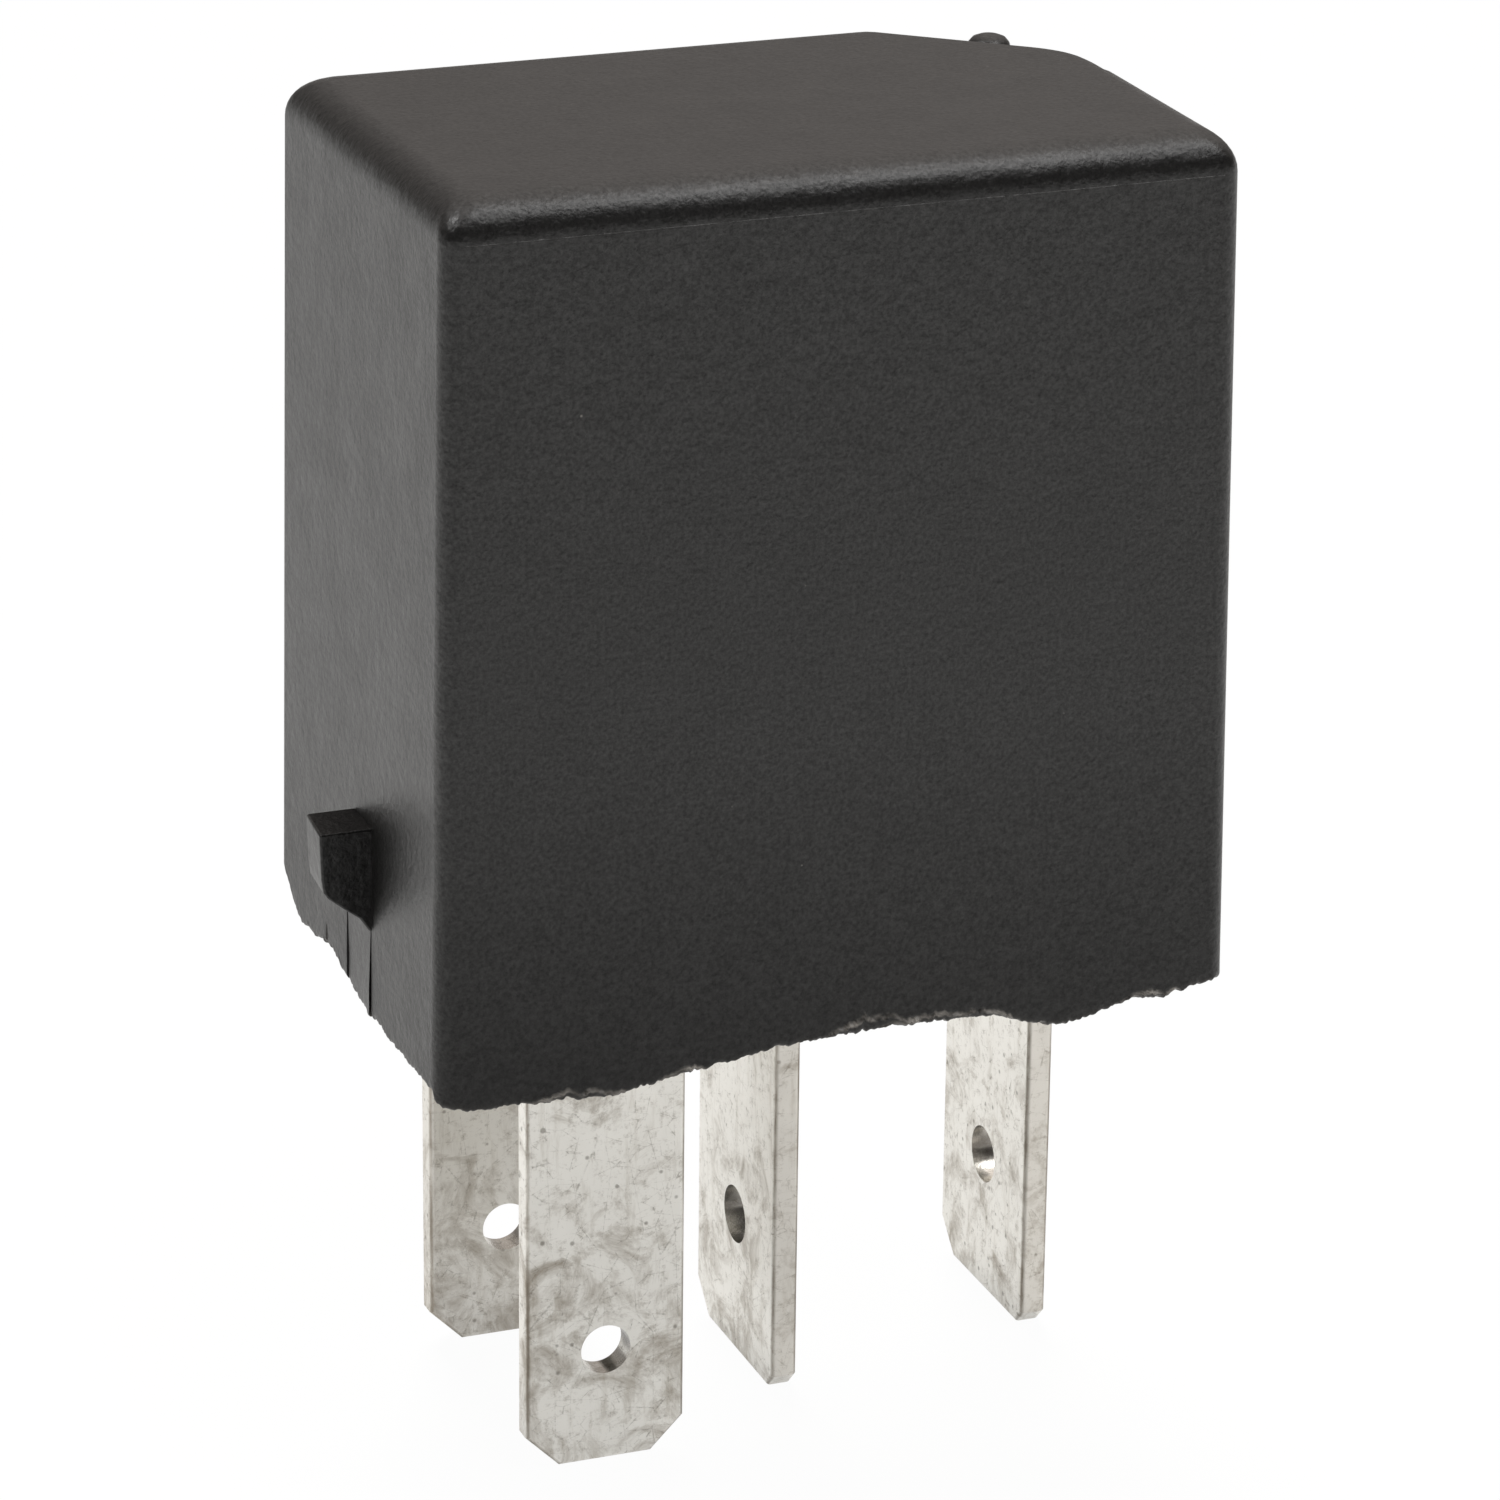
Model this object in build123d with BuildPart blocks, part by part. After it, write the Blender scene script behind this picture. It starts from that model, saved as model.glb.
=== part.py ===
"""Plug-in micro relay for a car's fuse box: moulded cover over a sealed base, coil, armature and contacts."""
import os
from math import acos, atan2, cos, hypot, radians, sin, tan

from build123d import *

# All sizes are in millimetres. X runs along the front, Y to the rear, and the seat under the base is Z = 0.

# Moulded cover: outside sizes at the seat, draft per side over the height, walls and rounds
body_width = 23.9
body_depth = 15.0
cover_top = 25.3
draft_x = 0.4
draft_y = 0.12
wall = 1.0
roof = 1.2
edge_radius = 0.9

# Recessed shelf at the rear right corner of the top, set in from the cover's sides, and its vent pip
shelf_drop = 1.25
shelf_back_inset = 7.35
shelf_turn_inset_x = 1.2
shelf_turn_inset_y = 5.2
shelf_end_inset = 7.1
shelf_round = 3.0
pip_inset_x = 2.75
pip_inset_y = 2.4
pip_radius = 0.66
pip_height = 1.2
pip_dome = 0.4

# Latch wedge on the left wall and the two slits that free its tongue
latch_y = -0.6
latch_width = 1.75
latch_reach = 1.45
latch_top = 5.78
latch_face = 1.85
latch_ramp = 1.3
slit_width = 0.14
slit_top = 2.6
slit_front_y = -1.45
slit_rear_y = 0.85

# Rough lower rim: how far each wall's edge stands above the seat, at fractions of the half side
rim_drop = 0.8
rim_tooth = 0.55
rim_rough = 0.16
rim_noise_step = 37
rim_noise_count = 11
front_rim = ((-1.0, -0.25), (-0.8, -0.48), (-0.55, -0.6), (-0.35, -0.2), (-0.1, 0.19), (0.15, 0.27),
             (0.5, 0.02), (0.6, -0.5), (0.68, -0.15), (0.9, 0.2), (1.0, 0.1))
left_rim = ((-1.0, -0.2), (-0.75, 0.0), (-0.46, 0.1), (0.02, -0.06), (0.13, 0.31), (0.43, 0.74),
            (0.7, 0.12), (0.87, 0.71), (1.0, 1.05))
rear_rim = ((-1.0, 1.05), (-0.85, 0.1), (1.0, 0.1))
right_rim = ((-1.0, 0.1), (1.0, 0.1))

# Base plate, the resin that seals it into the cover, and the fits around them
seal_depth = 0.6
base_top = 3.2
base_fit = 0.05
slot_fit = 0.02
plug_radius = 0.4

# Blades: two narrow ones feed the coil, two wide ones carry the load; insets run from the cover's sides
blade_thickness = 0.8
blade_length = 13.2
blade_tip = 1.0
blade_edge = 0.15
coil_blade_width = 4.8
coil_blade_hole = 0.75
coil_blade_hole_up = 3.5
coil_blade_inset_x = 5.75
front_blade_inset = 2.65
rear_blade_inset = 3.55
load_blade_width = 6.3
load_blade_nose = 0.45
load_blade_hole = 0.88
load_blade_hole_up = 4.4
common_core_gap = 0.46
common_offset_y = 0.75
output_inset_x = 3.05
output_inset_y = 5.7
tail_width = 1.0
tail_rise = 5.2
tenon_width = 3.0

# Iron yoke and core
yoke_thickness = 1.5
yoke_wall_gap = 1.85
yoke_side = 0.1
yoke_blade_gap = 0.3
yoke_foot_lap = 1.35
lug_lap = 0.7
lug_narrowing = 2.2
ear_width = 1.1
ear_height = 0.85
hook_tab_drop = 6.5
hook_tab_thickness = 0.6
hook_tab_reach = 1.25
hook_tab_width = 2.4
pole_headroom = 5.8
core_share = 0.53
spigot_share = 0.72
head_share = 1.36
head_height = 0.8
bore_fit = 0.03

# Bobbin, winding and the two coil leads
flange_thickness = 0.8
flange_wall_gap = 0.33
flange_yoke_gap = 0.3
flange_arm_gap = 3.3
flange_rim_x = 0.2
flange_rim_y = 0.9
flange_corner = 1.0
tube_share = 0.138
lead_radius = 0.18
lead_height = 0.4
lead_fit = 0.03

# Armature, its leaf and the contacts, all built about the fulcrum on the yoke's upper edge
armature_angle = 3.0
fulcrum_radius = 0.3
armature_gap = 0.06
armature_thickness = 1.2
armature_overhang = 1.4
armature_side = 0.6
armature_start = 0.5
tail_fit = 0.1
tail_reach = 2.4
stop_fit = 0.015
leaf_thickness = 0.25
leaf_narrowing = 1.1
leaf_pad_side = 1.0
leaf_pad_end = 4.0
leaf_start = 0.7
leaf_lap = 1.2
rivet_x = 1.5
rivet_inset = 0.8
rivet_radius = 0.55
rivet_head_radius = 0.9
rivet_head = 0.4
contact_inset = 1.7
contact_radius = 1.2
contact_height = 0.6
contact_shank = 0.7
contact_button = 0.95
contact_button_height = 0.25
arm_lip = 0.2
riser_width = 3.6
shoulder_height = 1.6

# Return spring and the copper braid
spring_wire = 0.11
spring_wire_sides = 6
spring_radius = 0.42
spring_turns = 5
spring_straight = 0.5
spring_bend = 0.2
hook_offset = 1.55
hook_hole = 0.2
hook_lip = 0.5
braid_width = 2.2
braid_thickness = 0.5
braid_contact_gap = 1.25
braid_lean = 0.15
braid_bow = 1.3

# Cover values that follow from those above
margin = wall
trim_depth = margin + wall + plug_radius
foot_width = body_width + 2 * draft_x * rim_drop / cover_top
foot_depth = body_depth + 2 * draft_y * rim_drop / cover_top
top_width = body_width - 2 * draft_x
top_depth = body_depth - 2 * draft_y
ceiling = cover_top - roof
plug_width = body_width - 2 * (wall + draft_x * base_top / cover_top + base_fit)
plug_depth = body_depth - 2 * (wall + draft_y * base_top / cover_top + base_fit)
shelf_back_x = body_width / 2 - shelf_back_inset
shelf_turn_x = body_width / 2 - shelf_turn_inset_x
shelf_turn_y = body_depth / 2 - shelf_turn_inset_y
shelf_end_y = body_depth / 2 - shelf_end_inset
pip_x = body_width / 2 - pip_inset_x
pip_y = body_depth / 2 - pip_inset_y

# Places across the base, from the blades outwards
coil_blade_x = coil_blade_inset_x - body_width / 2
front_blade_y = front_blade_inset - body_depth / 2
rear_blade_y = body_depth / 2 - rear_blade_inset
motor_y = (front_blade_y + rear_blade_y) / 2
output_x = body_width / 2 - output_inset_x
output_y = body_depth / 2 - output_inset_y
yoke_outer_x = wall + yoke_wall_gap - body_width / 2
yoke_inner_x = yoke_outer_x + yoke_thickness
yoke_room = rear_blade_y - front_blade_y - blade_thickness - 2 * yoke_blade_gap
contact_x = output_x - contact_inset
arm_end_x = contact_x - contact_radius - arm_lip
coil_left = yoke_inner_x + flange_yoke_gap
coil_room_x = arm_end_x - flange_arm_gap - coil_left
coil_room_y = body_depth - 2 * (wall + draft_y + abs(motor_y) + flange_wall_gap)
winding_radius = min(coil_room_x / 2 - flange_rim_x, coil_room_y / 2 - flange_rim_y)
flange_half_x = winding_radius + flange_rim_x
flange_half_y = winding_radius + flange_rim_y
coil_x = coil_left + flange_half_x
tube_wall = tube_share * winding_radius
core_radius = core_share * winding_radius
spigot_radius = spigot_share * core_radius
head_radius = head_share * core_radius
common_x = coil_x + spigot_radius + common_core_gap + blade_thickness / 2
common_y = motor_y + common_offset_y
yoke_foot_x = common_x + yoke_foot_lap

# Heights up the coil, which fills the room left under the pole face
pole_face = cover_top - pole_headroom
head_low = pole_face - head_height
winding_high = head_low - flange_thickness
yoke_floor = base_top + yoke_thickness
winding_low = yoke_floor + flange_thickness
winding_length = winding_high - winding_low
tail_top = base_top + tail_rise
hook_tab_z = pole_face - hook_tab_drop

# Fulcrum, armature and contacts
pivot_x = yoke_inner_x - fulcrum_radius
pivot_z = pole_face + armature_gap - fulcrum_radius
tilt = radians(armature_angle)
heel_z = pivot_z + fulcrum_radius / cos(tilt) - (pivot_x - yoke_outer_x) * tan(tilt) - stop_fit
ear_top = pivot_z + fulcrum_radius + ear_height
rivet_pitch = 2 * (head_radius - rivet_inset)
leaf_pad_width = rivet_pitch + 2 * leaf_pad_side
leaf_width = leaf_pad_width - 2 * leaf_narrowing
yoke_width = min(yoke_room, leaf_pad_width + 2 * yoke_side)
armature_width = leaf_pad_width + 2 * armature_side
armature_end = coil_x + head_radius + armature_overhang - pivot_x
contact_reach = contact_x - pivot_x
arm_top = pole_face + armature_thickness - 2 * contact_height
leaf_low = fulcrum_radius + armature_thickness
leaf_high = leaf_low + leaf_thickness
leaf_end = contact_reach + leaf_lap
hook_x = pivot_x - hook_offset * cos(tilt) - (fulcrum_radius + armature_thickness / 2) * sin(tilt)
braid_reach = contact_reach - contact_radius - braid_contact_gap
braid_foot_x = pivot_x + braid_reach - braid_lean
lug_end_x = braid_foot_x + lug_lap
lug_width = yoke_width - 2 * lug_narrowing

# Work plane that lies along the armature as it rests, tipped up about the fulcrum
armature_plane = Plane(
    origin=(pivot_x, motor_y, pivot_z),
    x_dir=(cos(tilt), 0, sin(tilt)),
    z_dir=(-sin(tilt), 0, cos(tilt)),
)


def ragged_edge(levels, half, floor):
    """Closed outline under a rough edge that follows the given levels along a side."""
    count = round(2 * half / rim_tooth)
    points = [(-half, floor)]
    for step in range(count + 1):
        along = 2 * step / count - 1
        noise = (step * rim_noise_step) % rim_noise_count / rim_noise_count - 1 / 2
        for (start, low), (end, high) in zip(levels, levels[1:]):
            if start <= along <= end:
                level = low + (high - low) * (along - start) / (end - start)
        points.append((along * half, level + rim_rough * noise))
    points.append((half, floor))
    return points


def drafted_side(foot, top, height):
    """Corners of one side of the shell, which narrows from the rim to its top."""
    return [(-foot / 2, -rim_drop), (foot / 2, -rim_drop), (top / 2, height), (-top / 2, height)]


# Space inside the cover, held back under the shelf so the roof keeps its thickness there
with BuildPart() as hollow:
    with BuildSketch(Plane.XZ):
        Polygon(*drafted_side(foot_width - 2 * wall, top_width - 2 * wall, ceiling), align=None)
    extrude(amount=foot_depth, both=True)
    with BuildSketch(Plane.YZ):
        Polygon(*drafted_side(foot_depth - 2 * wall, top_depth - 2 * wall, ceiling), align=None)
    extrude(amount=foot_width, both=True, mode=Mode.INTERSECT)
    with BuildSketch(Plane.XY.offset(ceiling - shelf_drop)):
        with BuildLine():
            Polyline(
                (shelf_back_x - 2 * wall, body_depth / 2),
                (shelf_turn_x - wall, shelf_turn_y - wall),
                (shelf_turn_x - wall, shelf_end_y - wall),
                (body_width / 2, shelf_end_y - wall),
                (body_width / 2, body_depth / 2),
                close=True,
            )
        make_face()
    extrude(amount=2 * shelf_drop, mode=Mode.SUBTRACT)

# Cover: drafted, rounded shell with the shelf, vent pip, latch tongue and the rough rim
with BuildPart() as cover:
    with BuildSketch(Plane.XZ):
        Polygon(*drafted_side(foot_width, top_width, cover_top), align=None)
    extrude(amount=foot_depth, both=True)
    with BuildSketch(Plane.YZ):
        Polygon(*drafted_side(foot_depth, top_depth, cover_top), align=None)
    extrude(amount=foot_width, both=True, mode=Mode.INTERSECT)
    fillet(cover.edges().group_by(Axis.Z)[1:], edge_radius)
    with BuildSketch(Plane.XY.offset(cover_top)) as shelf:
        with BuildLine():
            Polyline(
                (shelf_back_x, body_depth / 2),
                (shelf_turn_x, shelf_turn_y),
                (shelf_turn_x, shelf_end_y),
                (body_width / 2, shelf_end_y),
                (body_width / 2, body_depth / 2),
                close=True,
            )
        make_face()
        fillet(shelf.vertices().sort_by_distance((shelf_turn_x, shelf_turn_y))[0], shelf_round)
    extrude(amount=-shelf_drop, mode=Mode.SUBTRACT)
    with BuildSketch(Plane.XY.offset(cover_top - shelf_drop)):
        with Locations((pip_x, pip_y)):
            Circle(pip_radius)
    extrude(amount=pip_height)
    fillet(cover.faces().sort_by(Axis.Z)[-2].edges(), pip_dome)
    with BuildSketch(Plane.XZ.offset(-latch_y)):
        with BuildLine():
            Polyline(
                (-body_width / 2 + wall / 2, latch_top),
                (-body_width / 2 - latch_reach, latch_top),
                (-body_width / 2 - latch_reach, latch_top - latch_face),
                (-body_width / 2, latch_top - latch_face - latch_ramp),
                (-body_width / 2 + wall / 2, latch_top - latch_face - latch_ramp),
                close=True,
            )
        make_face()
    extrude(amount=latch_width / 2, both=True)
    add(hollow.part, mode=Mode.SUBTRACT)
    with BuildSketch(Plane.YZ.offset(-body_width / 2 - margin)):
        with Locations((slit_front_y, 0), (slit_rear_y, 0)):
            Rectangle(slit_width, 2 * slit_top)
    extrude(amount=2 * margin, mode=Mode.SUBTRACT)
    with BuildSketch(Plane.XZ.offset(foot_depth / 2 + margin)):
        with BuildLine():
            Polyline(*ragged_edge(front_rim, foot_width / 2, -2 * rim_drop), close=True)
        make_face()
    extrude(amount=-trim_depth, mode=Mode.SUBTRACT)
    with BuildSketch(Plane.XZ.offset(-foot_depth / 2 - margin)):
        with BuildLine():
            Polyline(*ragged_edge(rear_rim, foot_width / 2, -2 * rim_drop), close=True)
        make_face()
    extrude(amount=trim_depth, mode=Mode.SUBTRACT)
    with BuildSketch(Plane.YZ.offset(-foot_width / 2 - margin)):
        with BuildLine():
            Polyline(*ragged_edge(left_rim, foot_depth / 2, -2 * rim_drop), close=True)
        make_face()
    extrude(amount=trim_depth, mode=Mode.SUBTRACT)
    with BuildSketch(Plane.YZ.offset(foot_width / 2 + margin)):
        with BuildLine():
            Polyline(*ragged_edge(right_rim, foot_depth / 2, -2 * rim_drop), close=True)
        make_face()
    extrude(amount=-trim_depth, mode=Mode.SUBTRACT)

# Slots where the four blades pass through the base and the resin
with BuildSketch() as blade_slots:
    with Locations((coil_blade_x, front_blade_y), (coil_blade_x, rear_blade_y)):
        Rectangle(coil_blade_width + 2 * slot_fit, blade_thickness + 2 * slot_fit)
    with Locations((common_x, common_y), (output_x, output_y)):
        Rectangle(blade_thickness + 2 * slot_fit, load_blade_width + 2 * slot_fit)

# Base: plate that closes the cover and holds the blades
with BuildPart() as base:
    with BuildSketch(Plane.XY.offset(seal_depth)):
        RectangleRounded(plug_width, plug_depth, plug_radius)
        add(blade_slots.sketch, mode=Mode.SUBTRACT)
    extrude(amount=base_top - seal_depth)

# Sealing resin poured into the underside, level with the seat
with BuildPart() as base_seal:
    with BuildSketch():
        RectangleRounded(plug_width, plug_depth, plug_radius)
        add(blade_slots.sketch, mode=Mode.SUBTRACT)
    extrude(amount=seal_depth)

# Coil blade at the front: tab, and a narrow tail beside the yoke for the coil lead
with BuildPart() as terminal_85:
    with BuildSketch(Plane.XZ.offset(-front_blade_y)) as front_outline:
        with Locations((coil_blade_x, (base_top - blade_length) / 2)):
            Rectangle(coil_blade_width, base_top + blade_length)
        chamfer(front_outline.vertices().group_by(Axis.Y)[0], blade_tip)
        with Locations((coil_blade_x - coil_blade_width / 2, base_top)):
            Rectangle(tail_width, tail_top - base_top, align=(Align.MIN, Align.MIN))
        with Locations((coil_blade_x, coil_blade_hole_up - blade_length)):
            Circle(coil_blade_hole, mode=Mode.SUBTRACT)
    extrude(amount=blade_thickness / 2, both=True)
    soft_edges = terminal_85.edges().filter_by_position(Axis.Z, -blade_length, 0).filter_by(GeomType.LINE)
    fillet(soft_edges.filter_by(Axis.Y, reverse=True), blade_edge)

# Coil blade at the rear: the same pressing
with BuildPart() as terminal_86:
    with Locations((0, rear_blade_y - front_blade_y, 0)):
        add(terminal_85.part)

# Common blade: wide tab whose tenon is staked through the yoke's foot
with BuildPart() as terminal_30:
    with BuildSketch(Plane.YZ.offset(common_x)) as common_outline:
        with Locations((common_y, (base_top - blade_length) / 2)):
            Rectangle(load_blade_width, base_top + blade_length)
        chamfer(common_outline.vertices().group_by(Axis.Y)[0].sort_by(Axis.X)[-1], blade_tip)
        chamfer(common_outline.vertices().group_by(Axis.Y)[0].sort_by(Axis.X)[0], load_blade_nose)
        with Locations((common_y, base_top)):
            Rectangle(tenon_width, yoke_thickness, align=(Align.CENTER, Align.MIN))
        with Locations((common_y, load_blade_hole_up - blade_length)):
            Circle(load_blade_hole, mode=Mode.SUBTRACT)
    extrude(amount=blade_thickness / 2, both=True)
    soft_edges = terminal_30.edges().filter_by_position(Axis.Z, -blade_length, 0).filter_by(GeomType.LINE)
    fillet(soft_edges.filter_by(Axis.X, reverse=True), blade_edge)

# Output blade: wide tab that rises inside and folds over to carry the fixed contact
with BuildPart() as terminal_87:
    with BuildSketch(Plane.YZ.offset(output_x)) as output_outline:
        with Locations((output_y, (base_top - blade_length) / 2)):
            Rectangle(load_blade_width, base_top + blade_length)
        chamfer(output_outline.vertices().group_by(Axis.Y)[0].sort_by(Axis.X)[-1], blade_tip)
        chamfer(output_outline.vertices().group_by(Axis.Y)[0].sort_by(Axis.X)[0], load_blade_nose)
        with Locations((motor_y - riser_width / 2, base_top)):
            Rectangle(
                output_y + load_blade_width / 2 - motor_y + riser_width / 2,
                shoulder_height,
                align=(Align.MIN, Align.MIN),
            )
        with Locations((motor_y, base_top)):
            Rectangle(riser_width, arm_top - base_top, align=(Align.CENTER, Align.MIN))
        with Locations((output_y, load_blade_hole_up - blade_length)):
            Circle(load_blade_hole, mode=Mode.SUBTRACT)
    extrude(amount=blade_thickness / 2, both=True)
    soft_edges = terminal_87.edges().filter_by_position(Axis.Z, -blade_length, 0).filter_by(GeomType.LINE)
    fillet(soft_edges.filter_by(Axis.X, reverse=True), blade_edge)
    with BuildSketch(Plane.XY.offset(arm_top)):
        with Locations((output_x + blade_thickness / 2, motor_y)):
            Rectangle(
                output_x + blade_thickness / 2 - arm_end_x,
                riser_width,
                align=(Align.MAX, Align.CENTER),
            )
        with Locations((contact_x, motor_y)):
            Circle(contact_shank + bore_fit, mode=Mode.SUBTRACT)
    extrude(amount=-blade_thickness)

# Yoke: bent iron bracket with the fulcrum on its upper edge, two ears and a tab for the return spring
with BuildPart() as yoke:
    with BuildSketch(Plane.XZ.offset(-motor_y)):
        with Locations((yoke_outer_x, base_top)):
            Rectangle(yoke_thickness, pivot_z - base_top, align=(Align.MIN, Align.MIN))
            Rectangle(pivot_x - yoke_outer_x, heel_z - base_top, align=(Align.MIN, Align.MIN))
            Rectangle(yoke_foot_x - yoke_outer_x, yoke_thickness, align=(Align.MIN, Align.MIN))
        with Locations((pivot_x, pivot_z)):
            Circle(fulcrum_radius)
    extrude(amount=yoke_width / 2, both=True)
    with BuildSketch(Plane.XY.offset(pivot_z)):
        with Locations((yoke_outer_x, motor_y - yoke_width / 2)):
            Rectangle(yoke_thickness, ear_width, align=(Align.MIN, Align.MIN))
        with Locations((yoke_outer_x, motor_y + yoke_width / 2)):
            Rectangle(yoke_thickness, ear_width, align=(Align.MIN, Align.MAX))
    extrude(amount=ear_top - pivot_z)
    with BuildSketch(Plane.XY.offset(base_top)):
        with Locations((yoke_foot_x, motor_y)):
            Rectangle(lug_end_x - yoke_foot_x, lug_width, align=(Align.MIN, Align.CENTER))
    extrude(amount=yoke_thickness)
    with BuildSketch(Plane.XY.offset(base_top)):
        with Locations((coil_x, motor_y)):
            Circle(spigot_radius + bore_fit)
        with Locations((common_x, common_y)):
            Rectangle(blade_thickness + 2 * slot_fit, tenon_width + 2 * slot_fit)
    extrude(amount=yoke_thickness, mode=Mode.SUBTRACT)
    with BuildSketch(Plane.XY.offset(hook_tab_z)):
        with Locations((yoke_outer_x, motor_y)):
            Rectangle(hook_tab_reach, hook_tab_width, align=(Align.MAX, Align.CENTER))
        with Locations((hook_x, motor_y)):
            Circle(hook_hole, mode=Mode.SUBTRACT)
    extrude(amount=hook_tab_thickness)

# Core: turned iron pin riveted into the yoke's foot, with the pole head on top
with BuildPart() as core:
    with BuildSketch(Plane.XY.offset(base_top)):
        with Locations((coil_x, motor_y)):
            Circle(spigot_radius)
    extrude(amount=yoke_thickness)
    with BuildSketch(Plane.XY.offset(yoke_floor)):
        with Locations((coil_x, motor_y)):
            Circle(core_radius)
    extrude(amount=head_low - yoke_floor)
    with BuildSketch(Plane.XY.offset(head_low)):
        with Locations((coil_x, motor_y)):
            Circle(head_radius)
    extrude(amount=head_height)

# Bobbin: moulded tube between two flanges
with BuildPart() as bobbin:
    with BuildSketch(Plane.XY.offset(yoke_floor), Plane.XY.offset(winding_high)):
        with Locations((coil_x, motor_y)):
            RectangleRounded(2 * flange_half_x, 2 * flange_half_y, flange_corner)
    extrude(amount=flange_thickness)
    with BuildSketch(Plane.XY.offset(yoke_floor)):
        with Locations((coil_x, motor_y)):
            Circle(core_radius + bore_fit + tube_wall)
    extrude(amount=head_low - yoke_floor)
    with BuildSketch(Plane.XY.offset(yoke_floor)):
        with Locations((coil_x, motor_y)):
            Circle(core_radius + bore_fit)
    extrude(amount=head_low - yoke_floor, mode=Mode.SUBTRACT)

# Winding: enamelled copper filling the bobbin
with BuildPart() as coil_winding:
    with BuildSketch(Plane.XY.offset(winding_low)):
        with Locations((coil_x, motor_y)):
            Circle(winding_radius)
            Circle(core_radius + 2 * bore_fit + tube_wall, mode=Mode.SUBTRACT)
    extrude(amount=winding_length)

# Coil leads: each leaves the winding at a tangent and runs straight to its blade's tail
tail_side_x = coil_blade_x - coil_blade_width / 2 + tail_width
lead_ring = winding_radius + lead_radius + lead_fit
lead_span_x = tail_side_x - coil_x
lead_span_y = front_blade_y - motor_y
lead_turn = atan2(lead_span_y, lead_span_x) + acos(lead_ring / hypot(lead_span_x, lead_span_y))
lead_start = Vector(
    coil_x + lead_ring * cos(lead_turn),
    motor_y + lead_ring * sin(lead_turn),
    winding_low + lead_height,
)
lead_stop = Vector(tail_side_x, front_blade_y, winding_low + lead_height)
with BuildPart() as coil_lead_front:
    with BuildSketch(Plane(origin=lead_start, z_dir=lead_stop - lead_start)):
        Circle(lead_radius)
    extrude(amount=(lead_stop - lead_start).length - lead_fit)

# The rear lead is the mirror image across the coil's centre plane
with BuildPart() as coil_lead_rear:
    add(mirror(coil_lead_front.part, about=Plane.XZ.offset(-motor_y)))

# Armature: iron plate that rocks on the fulcrum, its narrow tail between the yoke's ears
with BuildPart() as armature:
    with BuildSketch(armature_plane.offset(fulcrum_radius)):
        with Locations((armature_start, 0)):
            Rectangle(armature_end - armature_start, armature_width, align=(Align.MIN, Align.CENTER))
        with Locations((-tail_reach, 0)):
            Rectangle(
                tail_reach + armature_start,
                yoke_width - 2 * (ear_width + tail_fit),
                align=(Align.MIN, Align.CENTER),
            )
        with Locations((rivet_x, 0)):
            with GridLocations(0, rivet_pitch, 1, 2):
                Circle(rivet_radius + bore_fit, mode=Mode.SUBTRACT)
        with Locations((-hook_offset, 0)):
            Circle(hook_hole, mode=Mode.SUBTRACT)
    extrude(amount=armature_thickness)
    with Locations(armature_plane.offset(fulcrum_radius)):
        with Locations((rivet_x, 0)):
            with GridLocations(0, rivet_pitch, 1, 2):
                Cone(
                    rivet_head_radius + bore_fit,
                    rivet_radius + bore_fit,
                    rivet_head,
                    align=(Align.CENTER, Align.CENTER, Align.MIN),
                    mode=Mode.SUBTRACT,
                )

# Leaf: springy bronze strip riveted on the armature, its free end carrying the moving contact
with BuildPart() as contact_leaf:
    with BuildSketch(armature_plane.offset(leaf_low)):
        with Locations((leaf_start, 0)):
            Rectangle(leaf_end - leaf_start, leaf_width, align=(Align.MIN, Align.CENTER))
            Rectangle(leaf_pad_end - leaf_start, leaf_pad_width, align=(Align.MIN, Align.CENTER))
        with Locations((rivet_x, 0)):
            with GridLocations(0, rivet_pitch, 1, 2):
                Circle(rivet_radius + bore_fit, mode=Mode.SUBTRACT)
        with Locations((contact_reach, 0)):
            Circle(contact_shank + bore_fit, mode=Mode.SUBTRACT)
    extrude(amount=leaf_thickness)

# Two rivets that hold the leaf on the armature, spread flush into its countersunk underside
with BuildPart() as leaf_rivets:
    with BuildSketch(armature_plane.offset(leaf_high)):
        with Locations((rivet_x, 0)):
            with GridLocations(0, rivet_pitch, 1, 2):
                Circle(rivet_head_radius)
    extrude(amount=rivet_head)
    with Locations(armature_plane.offset(fulcrum_radius)):
        with Locations((rivet_x, 0)):
            with GridLocations(0, rivet_pitch, 1, 2):
                Cone(rivet_head_radius, rivet_radius, rivet_head, align=(Align.CENTER, Align.CENTER, Align.MIN))
    with BuildSketch(armature_plane.offset(fulcrum_radius)):
        with Locations((rivet_x, 0)):
            with GridLocations(0, rivet_pitch, 1, 2):
                Circle(rivet_radius)
    extrude(amount=leaf_high - fulcrum_radius)

# Moving contact: silver rivet set through the leaf, face down
with BuildPart() as moving_contact:
    with BuildSketch(armature_plane.offset(leaf_low - contact_height)):
        with Locations((contact_reach, 0)):
            Circle(contact_radius)
    extrude(amount=contact_height)
    with BuildSketch(armature_plane.offset(leaf_low)):
        with Locations((contact_reach, 0)):
            Circle(contact_shank)
    extrude(amount=leaf_thickness)
    with BuildSketch(armature_plane.offset(leaf_high)):
        with Locations((contact_reach, 0)):
            Circle(contact_button)
    extrude(amount=contact_button_height)

# Fixed contact: silver rivet set through the folded arm of the output blade, face up
with BuildPart() as fixed_contact:
    with BuildSketch(Plane.XY.offset(arm_top)):
        with Locations((contact_x, motor_y)):
            Circle(contact_radius)
    extrude(amount=contact_height)
    with BuildSketch(Plane.XY.offset(arm_top - blade_thickness)):
        with Locations((contact_x, motor_y)):
            Circle(contact_shank)
    extrude(amount=blade_thickness)
    with BuildSketch(Plane.XY.offset(arm_top - blade_thickness)):
        with Locations((contact_x, motor_y)):
            Circle(contact_button)
    extrude(amount=-contact_button_height)

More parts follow.
